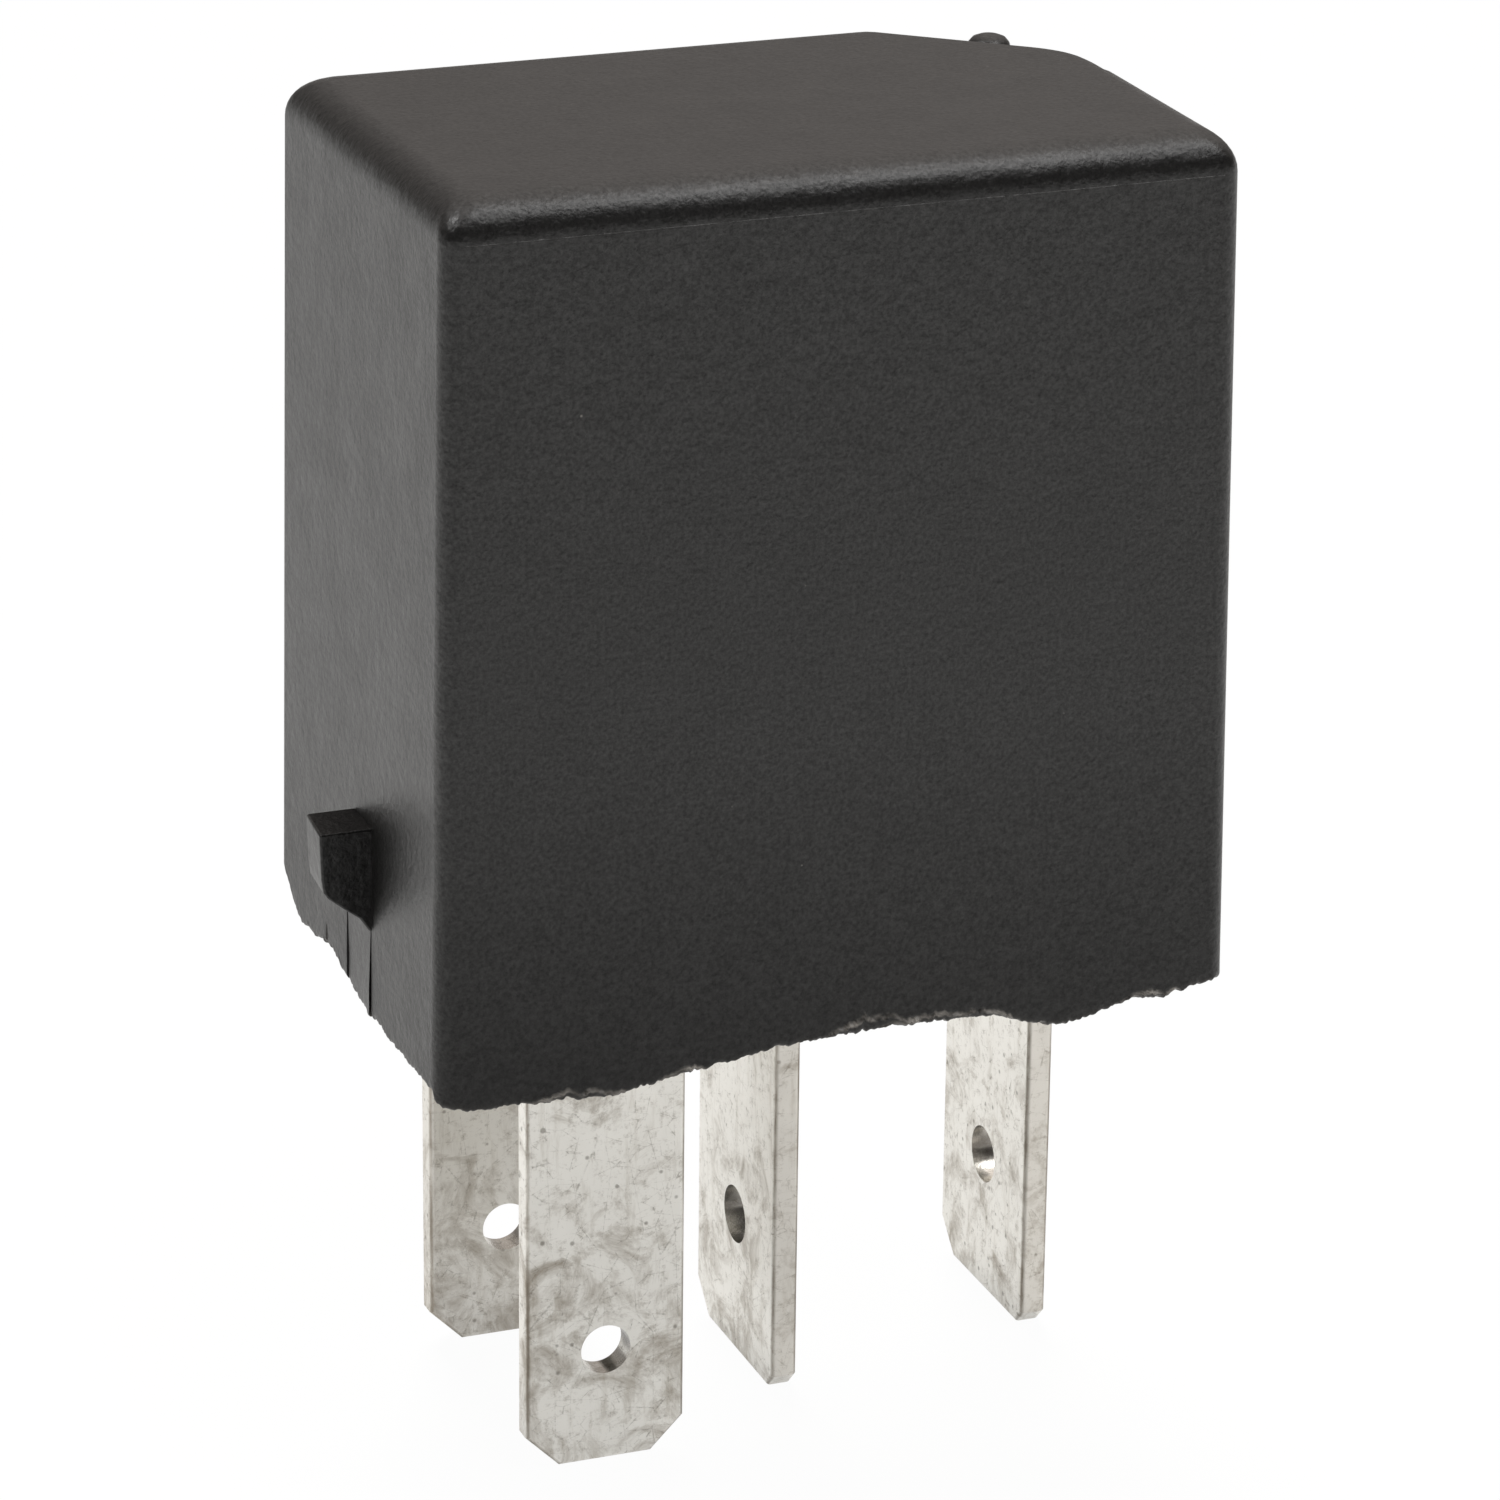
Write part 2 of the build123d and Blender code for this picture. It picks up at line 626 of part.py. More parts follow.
# Return spring: coil from the yoke's tab up to the armature's tail, each straight end bent over into a hook
tail_low = pivot_z + fulcrum_radius * cos(tilt) - hook_offset * sin(tilt)
tail_high = tail_low + armature_thickness * cos(tilt)
spring_low = hook_tab_z + hook_tab_thickness + spring_straight
spring_high = tail_low - spring_straight
hook_low = hook_tab_z - spring_wire - lead_fit
hook_high = tail_high + spring_wire + lead_fit
with BuildPart() as return_spring:
    with BuildLine() as spring_path:
        Helix(
            pitch=(spring_high - spring_low) / spring_turns,
            height=spring_high - spring_low,
            radius=spring_radius,
            center=(hook_x - spring_radius, motor_y, spring_low),
        )
    with BuildSketch(Plane(origin=spring_path.line @ 0, z_dir=spring_path.line % 0)):
        RegularPolygon(spring_wire, spring_wire_sides)
    sweep()
    with BuildSketch(Plane.XY.offset(hook_low)):
        with Locations((hook_x, motor_y)):
            RegularPolygon(spring_wire, spring_wire_sides)
    extrude(amount=spring_low - hook_low)
    with BuildSketch(Plane.XY.offset(spring_high)):
        with Locations((hook_x, motor_y)):
            RegularPolygon(spring_wire, spring_wire_sides)
    extrude(amount=hook_high - spring_high)
    with Locations((hook_x, motor_y, spring_low), (hook_x, motor_y, spring_high)):
        Box(spring_bend, spring_bend, spring_bend)
    with BuildSketch(Plane.XZ.offset(-motor_y)):
        with Locations((hook_x, hook_low), (hook_x, hook_high)):
            RegularPolygon(spring_wire, spring_wire_sides)
    extrude(amount=-hook_lip)

# Braid: flat flexible copper from the yoke's lug up to the underside of the leaf
braid_head = armature_plane.from_local_coords(Vector(braid_reach, 0, leaf_low))
with BuildPart() as braid:
    with BuildLine() as braid_path:
        Spline(
            (braid_foot_x, motor_y, yoke_floor),
            (braid_foot_x + braid_bow, motor_y, (yoke_floor + braid_head.Z) / 2),
            braid_head,
            tangents=((0, 0, 1), armature_plane.z_dir),
        )
    with BuildSketch(Plane(origin=braid_path.line @ 0, x_dir=(1, 0, 0), z_dir=braid_path.line % 0)):
        Rectangle(braid_thickness, braid_width)
    sweep()

# One file per piece
os.makedirs("parts", exist_ok=True)
cover.part.label = "cover"
export_step(cover.part, "parts/cover.step")
base.part.label = "base"
export_step(base.part, "parts/base.step")
base_seal.part.label = "base_seal"
export_step(base_seal.part, "parts/base_seal.step")
terminal_85.part.label = "terminal_85"
export_step(terminal_85.part, "parts/terminal_85.step")
terminal_86.part.label = "terminal_86"
export_step(terminal_86.part, "parts/terminal_86.step")
terminal_30.part.label = "terminal_30"
export_step(terminal_30.part, "parts/terminal_30.step")
terminal_87.part.label = "terminal_87"
export_step(terminal_87.part, "parts/terminal_87.step")
yoke.part.label = "yoke"
export_step(yoke.part, "parts/yoke.step")
core.part.label = "core"
export_step(core.part, "parts/core.step")
bobbin.part.label = "bobbin"
export_step(bobbin.part, "parts/bobbin.step")
coil_winding.part.label = "coil_winding"
export_step(coil_winding.part, "parts/coil_winding.step")
coil_lead_front.part.label = "coil_lead_front"
export_step(coil_lead_front.part, "parts/coil_lead_front.step")
coil_lead_rear.part.label = "coil_lead_rear"
export_step(coil_lead_rear.part, "parts/coil_lead_rear.step")
armature.part.label = "armature"
export_step(armature.part, "parts/armature.step")
contact_leaf.part.label = "contact_leaf"
export_step(contact_leaf.part, "parts/contact_leaf.step")
leaf_rivets.part.label = "leaf_rivets"
export_step(leaf_rivets.part, "parts/leaf_rivets.step")
moving_contact.part.label = "moving_contact"
export_step(moving_contact.part, "parts/moving_contact.step")
fixed_contact.part.label = "fixed_contact"
export_step(fixed_contact.part, "parts/fixed_contact.step")
return_spring.part.label = "return_spring"
export_step(return_spring.part, "parts/return_spring.step")
braid.part.label = "braid"
export_step(braid.part, "parts/braid.step")
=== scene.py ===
"""Looks of a plug-in micro relay for a car's fuse box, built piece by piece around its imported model."""
import math

import bmesh
import bpy
from mathutils import Matrix, Vector, noise


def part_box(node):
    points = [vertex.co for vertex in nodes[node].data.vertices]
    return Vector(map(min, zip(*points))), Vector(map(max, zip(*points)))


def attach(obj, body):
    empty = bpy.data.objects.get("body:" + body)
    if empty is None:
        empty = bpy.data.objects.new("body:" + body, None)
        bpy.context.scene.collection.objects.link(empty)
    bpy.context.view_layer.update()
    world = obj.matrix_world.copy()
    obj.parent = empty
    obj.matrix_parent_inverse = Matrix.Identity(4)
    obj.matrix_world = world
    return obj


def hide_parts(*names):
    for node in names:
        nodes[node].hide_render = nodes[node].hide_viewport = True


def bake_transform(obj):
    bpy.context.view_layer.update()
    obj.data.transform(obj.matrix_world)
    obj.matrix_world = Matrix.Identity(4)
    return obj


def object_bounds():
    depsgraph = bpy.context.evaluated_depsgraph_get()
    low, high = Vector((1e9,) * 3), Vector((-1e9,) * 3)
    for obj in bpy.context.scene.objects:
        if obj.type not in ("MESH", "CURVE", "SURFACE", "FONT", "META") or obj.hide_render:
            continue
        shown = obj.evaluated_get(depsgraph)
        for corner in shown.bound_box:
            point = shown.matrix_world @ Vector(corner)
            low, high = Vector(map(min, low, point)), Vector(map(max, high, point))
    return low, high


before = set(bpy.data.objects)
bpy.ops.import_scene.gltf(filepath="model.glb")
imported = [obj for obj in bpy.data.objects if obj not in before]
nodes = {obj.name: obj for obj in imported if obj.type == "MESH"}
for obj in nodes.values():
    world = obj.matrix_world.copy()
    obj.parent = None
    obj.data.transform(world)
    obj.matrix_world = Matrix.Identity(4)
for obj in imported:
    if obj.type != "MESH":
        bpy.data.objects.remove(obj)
cad_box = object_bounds()

# Base plate: a moulded tray of black glass-filled polyester (PBT) that closes the cover and holds the
# four blades. It is pushed in from below and sits behind the poured resin, so only its edges ever show.
MM = 0.001


def linear(hex_colour):
    """Turn an sRGB hex value such as "#2b2a28" into the linear colour that a shader socket takes."""
    channels = [int(hex_colour[place:place + 2], 16) / 255 for place in (1, 3, 5)]
    return [c / 12.92 if c <= 0.04045 else ((c + 0.055) / 1.055) ** 2.4 for c in channels] + [1.0]


def add(tree, kind, inputs, **settings):
    """Add one shader node: settings are its properties, inputs are its values or the sockets that feed it."""
    node = tree.nodes.new(kind)
    for name, value in settings.items():
        setattr(node, name, value)
    for name, value in inputs.items():
        if isinstance(value, bpy.types.NodeSocket):
            tree.links.new(value, node.inputs[name])
        else:
            node.inputs[name].default_value = value
    return node


def new_material(name):
    """An empty node material, with the coordinates that run in metres along the object."""
    material = bpy.data.materials.new(name)
    material.use_nodes = True
    material.node_tree.nodes.clear()
    tree = material.node_tree
    place = add(tree, "ShaderNodeTexCoord", {}).outputs["Object"]
    return material, tree, place


def finish_material(tree, surface):
    """Lead the finished shader to the surface output."""
    add(tree, "ShaderNodeOutputMaterial", {"Surface": surface.outputs[0]})


def dress(material, *names):
    """Give the named CAD nodes this material."""
    for name in names:
        nodes[name].data.materials.clear()
        nodes[name].data.materials.append(material)


# Moulded PBT off a plain tool face: a smooth satin black with a faint flow cloud.
base_black, tree, place = new_material("pbt_moulded_satin_black")
flow_mm = 3.0
flow = add(tree, "ShaderNodeTexNoise", {"Vector": place, "Scale": 1 / (flow_mm * MM), "Detail": 3.0})
tone = add(tree, "ShaderNodeMix", {0: flow.outputs["Fac"], 6: linear("#1a1918"), 7: linear("#242321")},
           data_type="RGBA")
sheen = add(tree, "ShaderNodeMapRange", {0: flow.outputs["Fac"], 3: 0.36, 4: 0.5})
finish_material(tree, add(tree, "ShaderNodeBsdfPrincipled", {
    "Base Color": tone.outputs[2], "Roughness": sheen.outputs[0], "IOR": 1.55}))
dress(base_black, "base")

# Blades: four stampings of half-hard copper strip, tin plated, pressed through the base. The two narrow
# ones feed the coil, the wide ones carry the load; handling has scratched them and left dull stains.

# Electroplated matt tin: pale warm silver, darker towards the tips. Sliding in sockets has left hairline
# scratches, handling has left dark pits and brown stains, the rounded upright edges are darker, and painted
# shade darkens the rear blade, the front edges of the wide blades and the hole bores.
tin, tree, place = new_material("tin_electroplate_matt_handled")
cloud_mm = 1.6
streak_mm = 0.45
fleck_mm = 0.3
scratch_mm = 1.5
nick_mm = 0.8
pit_mm = 0.45
hole_mm = 3.0
spot = add(tree, "ShaderNodeSeparateXYZ", {0: place})
cloud = add(tree, "ShaderNodeTexNoise", {
    "Vector": place, "Scale": 1 / (cloud_mm * MM), "Detail": 8.0, "Roughness": 0.72, "Distortion": 0.8})
# The stain cloud is raised towards the tips, so the blades are darker towards their lower ends.
to_tip = add(tree, "ShaderNodeMapRange", {0: spot.outputs["Z"], 1: -12.0 * MM, 2: -5.0 * MM, 3: 0.07, 4: 0.0})
tip_weighted_cloud = add(tree, "ShaderNodeMath", {0: cloud.outputs["Fac"], 1: to_tip.outputs[0]}, operation="ADD")
stained = add(tree, "ShaderNodeMapRange", {0: tip_weighted_cloud.outputs[0], 1: 0.52, 2: 0.74, 4: 0.9})
plate = add(tree, "ShaderNodeMix", {0: stained.outputs[0], 6: linear("#ebe9e3"), 7: linear("#a0978a")},
            data_type="RGBA")
along = add(tree, "ShaderNodeMapping", {"Vector": place, "Scale": (1.0, 1.0, 0.16)})
streak = add(tree, "ShaderNodeTexNoise", {
    "Vector": along.outputs[0], "Scale": 1 / (streak_mm * MM), "Detail": 5.0, "Roughness": 0.7})
streaked = add(tree, "ShaderNodeMapRange", {0: streak.outputs["Fac"], 1: 0.55, 2: 0.8, 4: 0.55})
rubbed = add(tree, "ShaderNodeMix", {0: streaked.outputs[0], 6: plate.outputs[2], 7: linear("#a59c8c")},
             data_type="RGBA")
fleck = add(tree, "ShaderNodeTexNoise", {
    "Vector": place, "Scale": 1 / (fleck_mm * MM), "Detail": 8.0, "Roughness": 0.8})
flecked = add(tree, "ShaderNodeMapRange", {0: fleck.outputs["Fac"], 1: 0.53, 2: 0.7, 4: 0.65})
mottled = add(tree, "ShaderNodeMix", {0: flecked.outputs[0], 6: rubbed.outputs[2], 7: linear("#8c8477")},
              data_type="RGBA")

# Hairlines: the edges of stretched random cells, long ones down the blade and short ones across it
slanted = add(tree, "ShaderNodeMapping", {"Vector": place, "Rotation": (0.3, 0.55, 0.2),
                                          "Scale": (1.7, 1.7, 0.5)})
cells = add(tree, "ShaderNodeTexVoronoi", {"Vector": slanted.outputs[0], "Scale": 1 / (scratch_mm * MM),
                                           "Randomness": 1.0}, feature="DISTANCE_TO_EDGE")
hair = add(tree, "ShaderNodeMapRange", {0: cells.outputs["Distance"], 1: 0.0, 2: 0.012, 3: 1.0, 4: 0.0})
patchy = add(tree, "ShaderNodeMapRange", {0: fleck.outputs["Fac"], 1: 0.45, 2: 0.6, 4: 0.6})
crossing = add(tree, "ShaderNodeMapping", {"Vector": place, "Rotation": (-0.4, -0.7, 0.3),
                                           "Scale": (0.7, 1.0, 1.9)})
nicks = add(tree, "ShaderNodeTexVoronoi", {"Vector": crossing.outputs[0], "Scale": 1 / (nick_mm * MM),
                                           "Randomness": 1.0}, feature="DISTANCE_TO_EDGE")
nick = add(tree, "ShaderNodeMapRange", {0: nicks.outputs["Distance"], 1: 0.0, 2: 0.02, 3: 1.0, 4: 0.0})
either = add(tree, "ShaderNodeMath", {0: hair.outputs[0], 1: nick.outputs[0]}, operation="MAXIMUM")
hairline = add(tree, "ShaderNodeMath", {0: either.outputs[0], 1: patchy.outputs[0]}, operation="MULTIPLY")
scratched = add(tree, "ShaderNodeMix", {0: hairline.outputs[0], 6: mottled.outputs[2], 7: linear("#736b60")},
                data_type="RGBA")

# Pits: dark dots of many sizes
pits = add(tree, "ShaderNodeTexVoronoi", {"Vector": place, "Scale": 1 / (pit_mm * MM), "Randomness": 1.0})
pit_tint = add(tree, "ShaderNodeSeparateColor", {0: pits.outputs["Color"]})
pit_size = add(tree, "ShaderNodeMapRange", {0: pit_tint.outputs[0], 1: 0.7, 2: 1.0, 3: 0.0, 4: 0.24})
pit = add(tree, "ShaderNodeMath", {0: pit_size.outputs[0], 1: pits.outputs["Distance"]}, operation="SUBTRACT")
pitted = add(tree, "ShaderNodeMapRange", {0: pit.outputs[0], 1: 0.0, 2: 0.1, 4: 0.6})
specked = add(tree, "ShaderNodeMix", {0: pitted.outputs[0], 6: scratched.outputs[2], 7: linear("#6a645a")},
              data_type="RGBA")

# Darker along the rounded upright edges. Painted shade, tinted brown, on the rear blade and on the
# front-facing stamped edges of the wide blades. The punch burnished the bores of the holes, and painted shade
# darkens them half way up their sides.
facing = add(tree, "ShaderNodeSeparateXYZ", {0: add(tree, "ShaderNodeNewGeometry", {}).outputs["Normal"]})
# Darker along the rounded upright edges, where the normal faces half sideways and half forward.
sideways = add(tree, "ShaderNodeMath", {0: facing.outputs["X"]}, operation="ABSOLUTE")
endways = add(tree, "ShaderNodeMath", {0: facing.outputs["Y"]}, operation="ABSOLUTE")
edges = add(tree, "ShaderNodeMath", {0: sideways.outputs[0], 1: endways.outputs[0]}, operation="MINIMUM")
edge_line_mask = add(tree, "ShaderNodeMapRange", {0: edges.outputs[0], 1: 0.2, 2: 0.6})
uneven = add(tree, "ShaderNodeMapRange", {0: streak.outputs["Fac"], 1: 0.35, 2: 0.6, 3: 0.35, 4: 0.9})
edge_darkening = add(tree, "ShaderNodeMath", {0: edge_line_mask.outputs[0], 1: uneven.outputs[0]}, operation="MULTIPLY")
edge_darkened = add(tree, "ShaderNodeMix", {0: edge_darkening.outputs[0], 6: specked.outputs[2], 7: linear("#6f665a")},
            data_type="RGBA")
# Painted shade: the front-facing edges of the wide blades and the rear blade are darkened to a brown grey.
forward = add(tree, "ShaderNodeMapRange", {0: facing.outputs["Y"], 1: -0.95, 2: -0.7, 3: 0.3, 4: 0.0})
wide = add(tree, "ShaderNodeMapRange", {0: spot.outputs["X"], 1: -2.5 * MM, 2: -2.0 * MM})
stamped = add(tree, "ShaderNodeMath", {0: forward.outputs[0], 1: wide.outputs[0]}, operation="MULTIPLY")
to_rear = add(tree, "ShaderNodeMapRange", {0: spot.outputs["Y"], 1: 1.0 * MM, 2: 3.0 * MM, 4: 0.16})
narrow = add(tree, "ShaderNodeMath", {0: 1.0, 1: wide.outputs[0]}, operation="SUBTRACT")
rear_blade_shade = add(tree, "ShaderNodeMath", {0: to_rear.outputs[0], 1: narrow.outputs[0]}, operation="MULTIPLY")
painted_blade_shade = add(tree, "ShaderNodeMath", {0: stamped.outputs[0], 1: rear_blade_shade.outputs[0]}, operation="MAXIMUM")
blade_shaded = add(tree, "ShaderNodeMix", {0: painted_blade_shade.outputs[0], 6: edge_darkened.outputs[2], 7: linear("#a1978a")},
             data_type="RGBA")
# Painted shade in the hole bores: darker where the bore is enclosed, most of all half way up its sides.
bore = add(tree, "ShaderNodeAmbientOcclusion", {"Distance": hole_mm * MM}, only_local=True, samples=8)
deep = add(tree, "ShaderNodeMapRange", {0: bore.outputs["AO"], 1: 0.5, 2: 0.85, 3: 1.0, 4: 0.0})
upward = add(tree, "ShaderNodeMath", {0: facing.outputs["Z"]}, operation="ABSOLUTE")
half_way = add(tree, "ShaderNodeMapRange", {0: upward.outputs[0], 1: 0.15, 2: 0.6, 3: 0.93, 4: 0.1})
bore_shade = add(tree, "ShaderNodeMath", {0: deep.outputs[0], 1: half_way.outputs[0]}, operation="MULTIPLY")
bore_shaded = add(tree, "ShaderNodeMix", {0: bore_shade.outputs[0], 6: blade_shaded.outputs[2], 7: linear("#3a3530")},
            data_type="RGBA")
matt = add(tree, "ShaderNodeMapRange", {0: cloud.outputs["Fac"], 1: 0.3, 2: 0.7, 3: 0.3, 4: 0.48})
satin = add(tree, "ShaderNodeMix", {0: deep.outputs[0], 2: matt.outputs[0], 3: 0.16})
scored = add(tree, "ShaderNodeBump", {"Height": fleck.outputs["Fac"], "Strength": 0.3, "Distance": 0.02 * MM})
dimpled = add(tree, "ShaderNodeBump", {"Height": cloud.outputs["Fac"], "Strength": 0.3,
                                       "Distance": 0.03 * MM, "Normal": scored.outputs[0]})
finish_material(tree, add(tree, "ShaderNodeBsdfPrincipled", {
    "Base Color": bore_shaded.outputs[2], "Metallic": 1.0, "Roughness": satin.outputs[0],
    "Normal": dimpled.outputs[0]}))
dress(tin, "terminal_85", "terminal_86", "terminal_30", "terminal_87")

# Yoke, core and armature: soft iron, nickel plated. The yoke is bent from strip, and the core is turned and
# riveted through the yoke's foot, with its head as the pole face. The armature is a stamped plate that rocks
# on the yoke, and the rivets that hold the leaf on it have the same plating.

# Satin nickel plate: slightly yellow grey metal, faintly clouded.
nickel, tree, place = new_material("nickel_plated_soft_iron")
plate_mm = 0.35
plating = add(tree, "ShaderNodeTexNoise", {"Vector": place, "Scale": 1 / (plate_mm * MM), "Detail": 5.0})
tone = add(tree, "ShaderNodeMix", {0: plating.outputs["Fac"], 6: linear("#b0ada3"), 7: linear("#c6c3b8")},
           data_type="RGBA")
satin = add(tree, "ShaderNodeMapRange", {0: plating.outputs["Fac"], 1: 0.3, 2: 0.7, 3: 0.26, 4: 0.4})
finish_material(tree, add(tree, "ShaderNodeBsdfPrincipled", {
    "Base Color": tone.outputs[2], "Metallic": 1.0, "Roughness": satin.outputs[0]}))
dress(nickel, "yoke", "core", "armature", "leaf_rivets")

# Bobbin: the spool that carries the winding, moulded in natural glass-filled nylon. It is slipped over the
# core, between the yoke's foot and the pole head.

# Natural nylon: milky cream, waxy, lets a little light into its surface.
nylon, tree, place = new_material("nylon_glass_filled_natural")
fibre_mm = 0.4
fibre = add(tree, "ShaderNodeTexNoise", {"Vector": place, "Scale": 1 / (fibre_mm * MM), "Detail": 4.0})
tone = add(tree, "ShaderNodeMix", {0: fibre.outputs["Fac"], 6: linear("#cfc4a6"), 7: linear("#ded6bf")},
           data_type="RGBA")
finish_material(tree, add(tree, "ShaderNodeBsdfPrincipled", {
    "Base Color": tone.outputs[2], "Roughness": 0.42, "IOR": 1.53, "Subsurface Weight": 0.15,
    "Subsurface Radius": (0.4 * MM, 0.3 * MM, 0.2 * MM), "Subsurface Scale": 1.0}))
dress(nylon, "bobbin")

# Winding and leads: enamelled copper wire wound in close turns on the bobbin, its two ends brought out
# to the tails of the coil blades and soldered there.
winding_low, winding_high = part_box("coil_winding")
winding_axis = (winding_low + winding_high) / 2
winding_radius = (winding_high.y - winding_low.y) / 2
tube_radius = 3.2 * MM
turn_pitch = 0.31 * MM
turn_rows = 6
winding_sides = 72


def place_mesh(name, form):
    """Turn a finished bmesh into an object in the scene."""
    bmesh.ops.recalc_face_normals(form, faces=form.faces)
    mesh = bpy.data.meshes.new(name)
    form.to_mesh(mesh)
    form.free()
    piece = bpy.data.objects.new(name, mesh)
    bpy.context.scene.collection.objects.link(piece)
    return piece


def stack(name, rings, hollow_ring=False):
    """A closed solid through a stack of rings of points: capped, or led back to its first ring."""
    form = bmesh.new()
    rows = [[form.verts.new(point) for point in ring] for ring in rings]
    pairs = list(zip(rows, rows[1:]))
    if hollow_ring:
        pairs.append((rows[-1], rows[0]))
    else:
        form.faces.new(rows[0])
        form.faces.new(rows[-1])
    for lower, upper in pairs:
        for here in range(len(lower)):
            after = (here + 1) % len(lower)
            form.faces.new((lower[here], lower[after], upper[after], upper[here]))
    return place_mesh(name, form)


def winding_ring(z):
    """Points round the winding at one height: each turn is a round wire that climbs one pitch a lap."""
    ring = []
    for side in range(winding_sides):
        lap = side / winding_sides
        across = (z / turn_pitch - lap) % 1 - 0.5
        radius = winding_radius - turn_pitch * (0.5 - math.sqrt(0.25 - across ** 2))
        ring.append((winding_axis.x + radius * math.cos(math.tau * lap),
                     winding_axis.y + radius * math.sin(math.tau * lap), z))
    return ring


winding_rows = round((winding_high.z - winding_low.z) * turn_rows / turn_pitch)
winding_rings = [winding_ring(winding_low.z + (winding_high.z - winding_low.z) * row / winding_rows)
                 for row in range(winding_rows + 1)]
for z in (winding_high.z, winding_low.z):
    winding_rings.append([(winding_axis.x + tube_radius * math.cos(math.tau * side / winding_sides),
                           winding_axis.y + tube_radius * math.sin(math.tau * side / winding_sides), z)
                          for side in range(winding_sides)])
turns = stack("winding_turns", winding_rings, hollow_ring=True)
turns.data.shade_smooth()
turns.data.set_sharp_from_angle(angle=math.radians(60))

# Enamelled copper: orange-brown metal under a clear varnish.
enamel, tree, place = new_material("enamelled_copper_wire")
turn_mm = 0.9
turn = add(tree, "ShaderNodeTexNoise", {"Vector": place, "Scale": 1 / (turn_mm * MM), "Detail": 2.0})
tone = add(tree, "ShaderNodeMix", {0: turn.outputs["Fac"], 6: linear("#9c4a22"), 7: linear("#bd6a38")},
           data_type="RGBA")
finish_material(tree, add(tree, "ShaderNodeBsdfPrincipled", {
    "Base Color": tone.outputs[2], "Metallic": 1.0, "Roughness": 0.34, "Coat Weight": 0.8,
    "Coat Roughness": 0.12}))
dress(enamel, "coil_winding", "coil_lead_front", "coil_lead_rear")
turns.data.materials.append(enamel)
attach(turns, "relay_body")
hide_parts("coil_winding")

# Contact leaf: a stamped strip of phosphor bronze, held on the armature by two rivets. It carries the moving
# contact and springs it shut.

# Rolled phosphor bronze: golden strip with fine roll lines along its length, drawn coarser than they are so
# that they show.
bronze, tree, place = new_material("phosphor_bronze_rolled")
roll_mm = 0.12
roll_place = add(tree, "ShaderNodeMapping", {"Vector": place, "Scale": (0.05, 1.0, 1.0)})
roll = add(tree, "ShaderNodeTexNoise", {
    "Vector": roll_place.outputs[0], "Scale": 1 / (roll_mm * MM), "Detail": 2.0})
tone = add(tree, "ShaderNodeMix", {0: roll.outputs["Fac"], 6: linear("#b98a52"), 7: linear("#cda268")},
           data_type="RGBA")
finish_material(tree, add(tree, "ShaderNodeBsdfPrincipled", {
    "Base Color": tone.outputs[2], "Metallic": 1.0, "Roughness": 0.3}))
dress(bronze, "contact_leaf")

# Contacts: two silver alloy rivets that meet face to face. One is headed into the leaf, the other into the
# folded arm of the output blade.

# Silver tin-oxide: white metal, dulled by its first few switchings.
silver, tree, place = new_material("silver_alloy_contact")
arc_mm = 0.25
arc = add(tree, "ShaderNodeTexNoise", {"Vector": place, "Scale": 1 / (arc_mm * MM), "Detail": 3.0})
tone = add(tree, "ShaderNodeMix", {0: arc.outputs["Fac"], 6: linear("#b9b6ae"), 7: linear("#e2dfd8")},
           data_type="RGBA")
finish_material(tree, add(tree, "ShaderNodeBsdfPrincipled", {
    "Base Color": tone.outputs[2], "Metallic": 1.0, "Roughness": 0.38}))
dress(silver, "moving_contact", "fixed_contact")

# Return spring: music wire wound into a short coil, hooked from the yoke's tab to the armature's tail, drawn
# at one fixed length.
spring_low, spring_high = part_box("return_spring")
spring_wire = 0.11 * MM
spring_radius = 0.42 * MM
spring_turns = 5
turn_steps = 24
low_hook_end = 1.25 * MM
high_hook_end = 1.85 * MM
hook_lip = 0.5 * MM
hook_bend = 0.2 * MM
bend_steps = 4
hook = Vector((spring_high.x - spring_wire, (spring_low.y + spring_high.y) / 2))
hook_low = spring_low.z + spring_wire
hook_high = spring_high.z - spring_wire


def wire(name, paths, radius):
    """Round wire along one or more runs of points."""
    curve = bpy.data.curves.new(name, "CURVE")
    curve.dimensions = "3D"
    curve.bevel_depth = radius
    curve.bevel_resolution = 2
    curve.use_fill_caps = True
    for path in paths:
        spline = curve.splines.new("POLY")
        spline.points.add(len(path) - 1)
        for point, spot in zip(spline.points, path):
            point.co = (*spot, 1.0)
    drawn = bpy.data.objects.new(name, curve)
    bpy.context.scene.collection.objects.link(drawn)
    bpy.context.view_layer.update()
    mesh = bpy.data.meshes.new_from_object(drawn.evaluated_get(bpy.context.evaluated_depsgraph_get()))
    mesh.shade_smooth()
    bpy.data.objects.remove(drawn)
    piece = bpy.data.objects.new(name, mesh)
    bpy.context.scene.collection.objects.link(piece)
    return piece


def hook_path(z, upward):
    """One bent end of the spring, from its lip to where the wire stands upright."""
    path = [Vector((hook.x, hook.y + hook_lip, z))]
    for step in range(bend_steps + 1):
        turn = math.pi / 2 * step / bend_steps
        path.append(Vector((hook.x, hook.y + hook_bend * (1 - math.sin(turn)),
                            z + upward * hook_bend * (1 - math.cos(turn)))))
    return path


coil_low = hook_low + low_hook_end
coil_high = hook_high - high_hook_end
coil_steps = spring_turns * turn_steps
spring_path = hook_path(hook_low, 1)
for step in range(coil_steps + 1):
    turn = math.tau * step / turn_steps
    spring_path.append(Vector((hook.x - spring_radius * (1 - math.cos(turn)),
                               hook.y + spring_radius * math.sin(turn),
                               coil_low + (coil_high - coil_low) * step / coil_steps)))
spring_path += reversed(hook_path(hook_high, -1))
spring = wire("spring_wire", [spring_path], spring_wire)

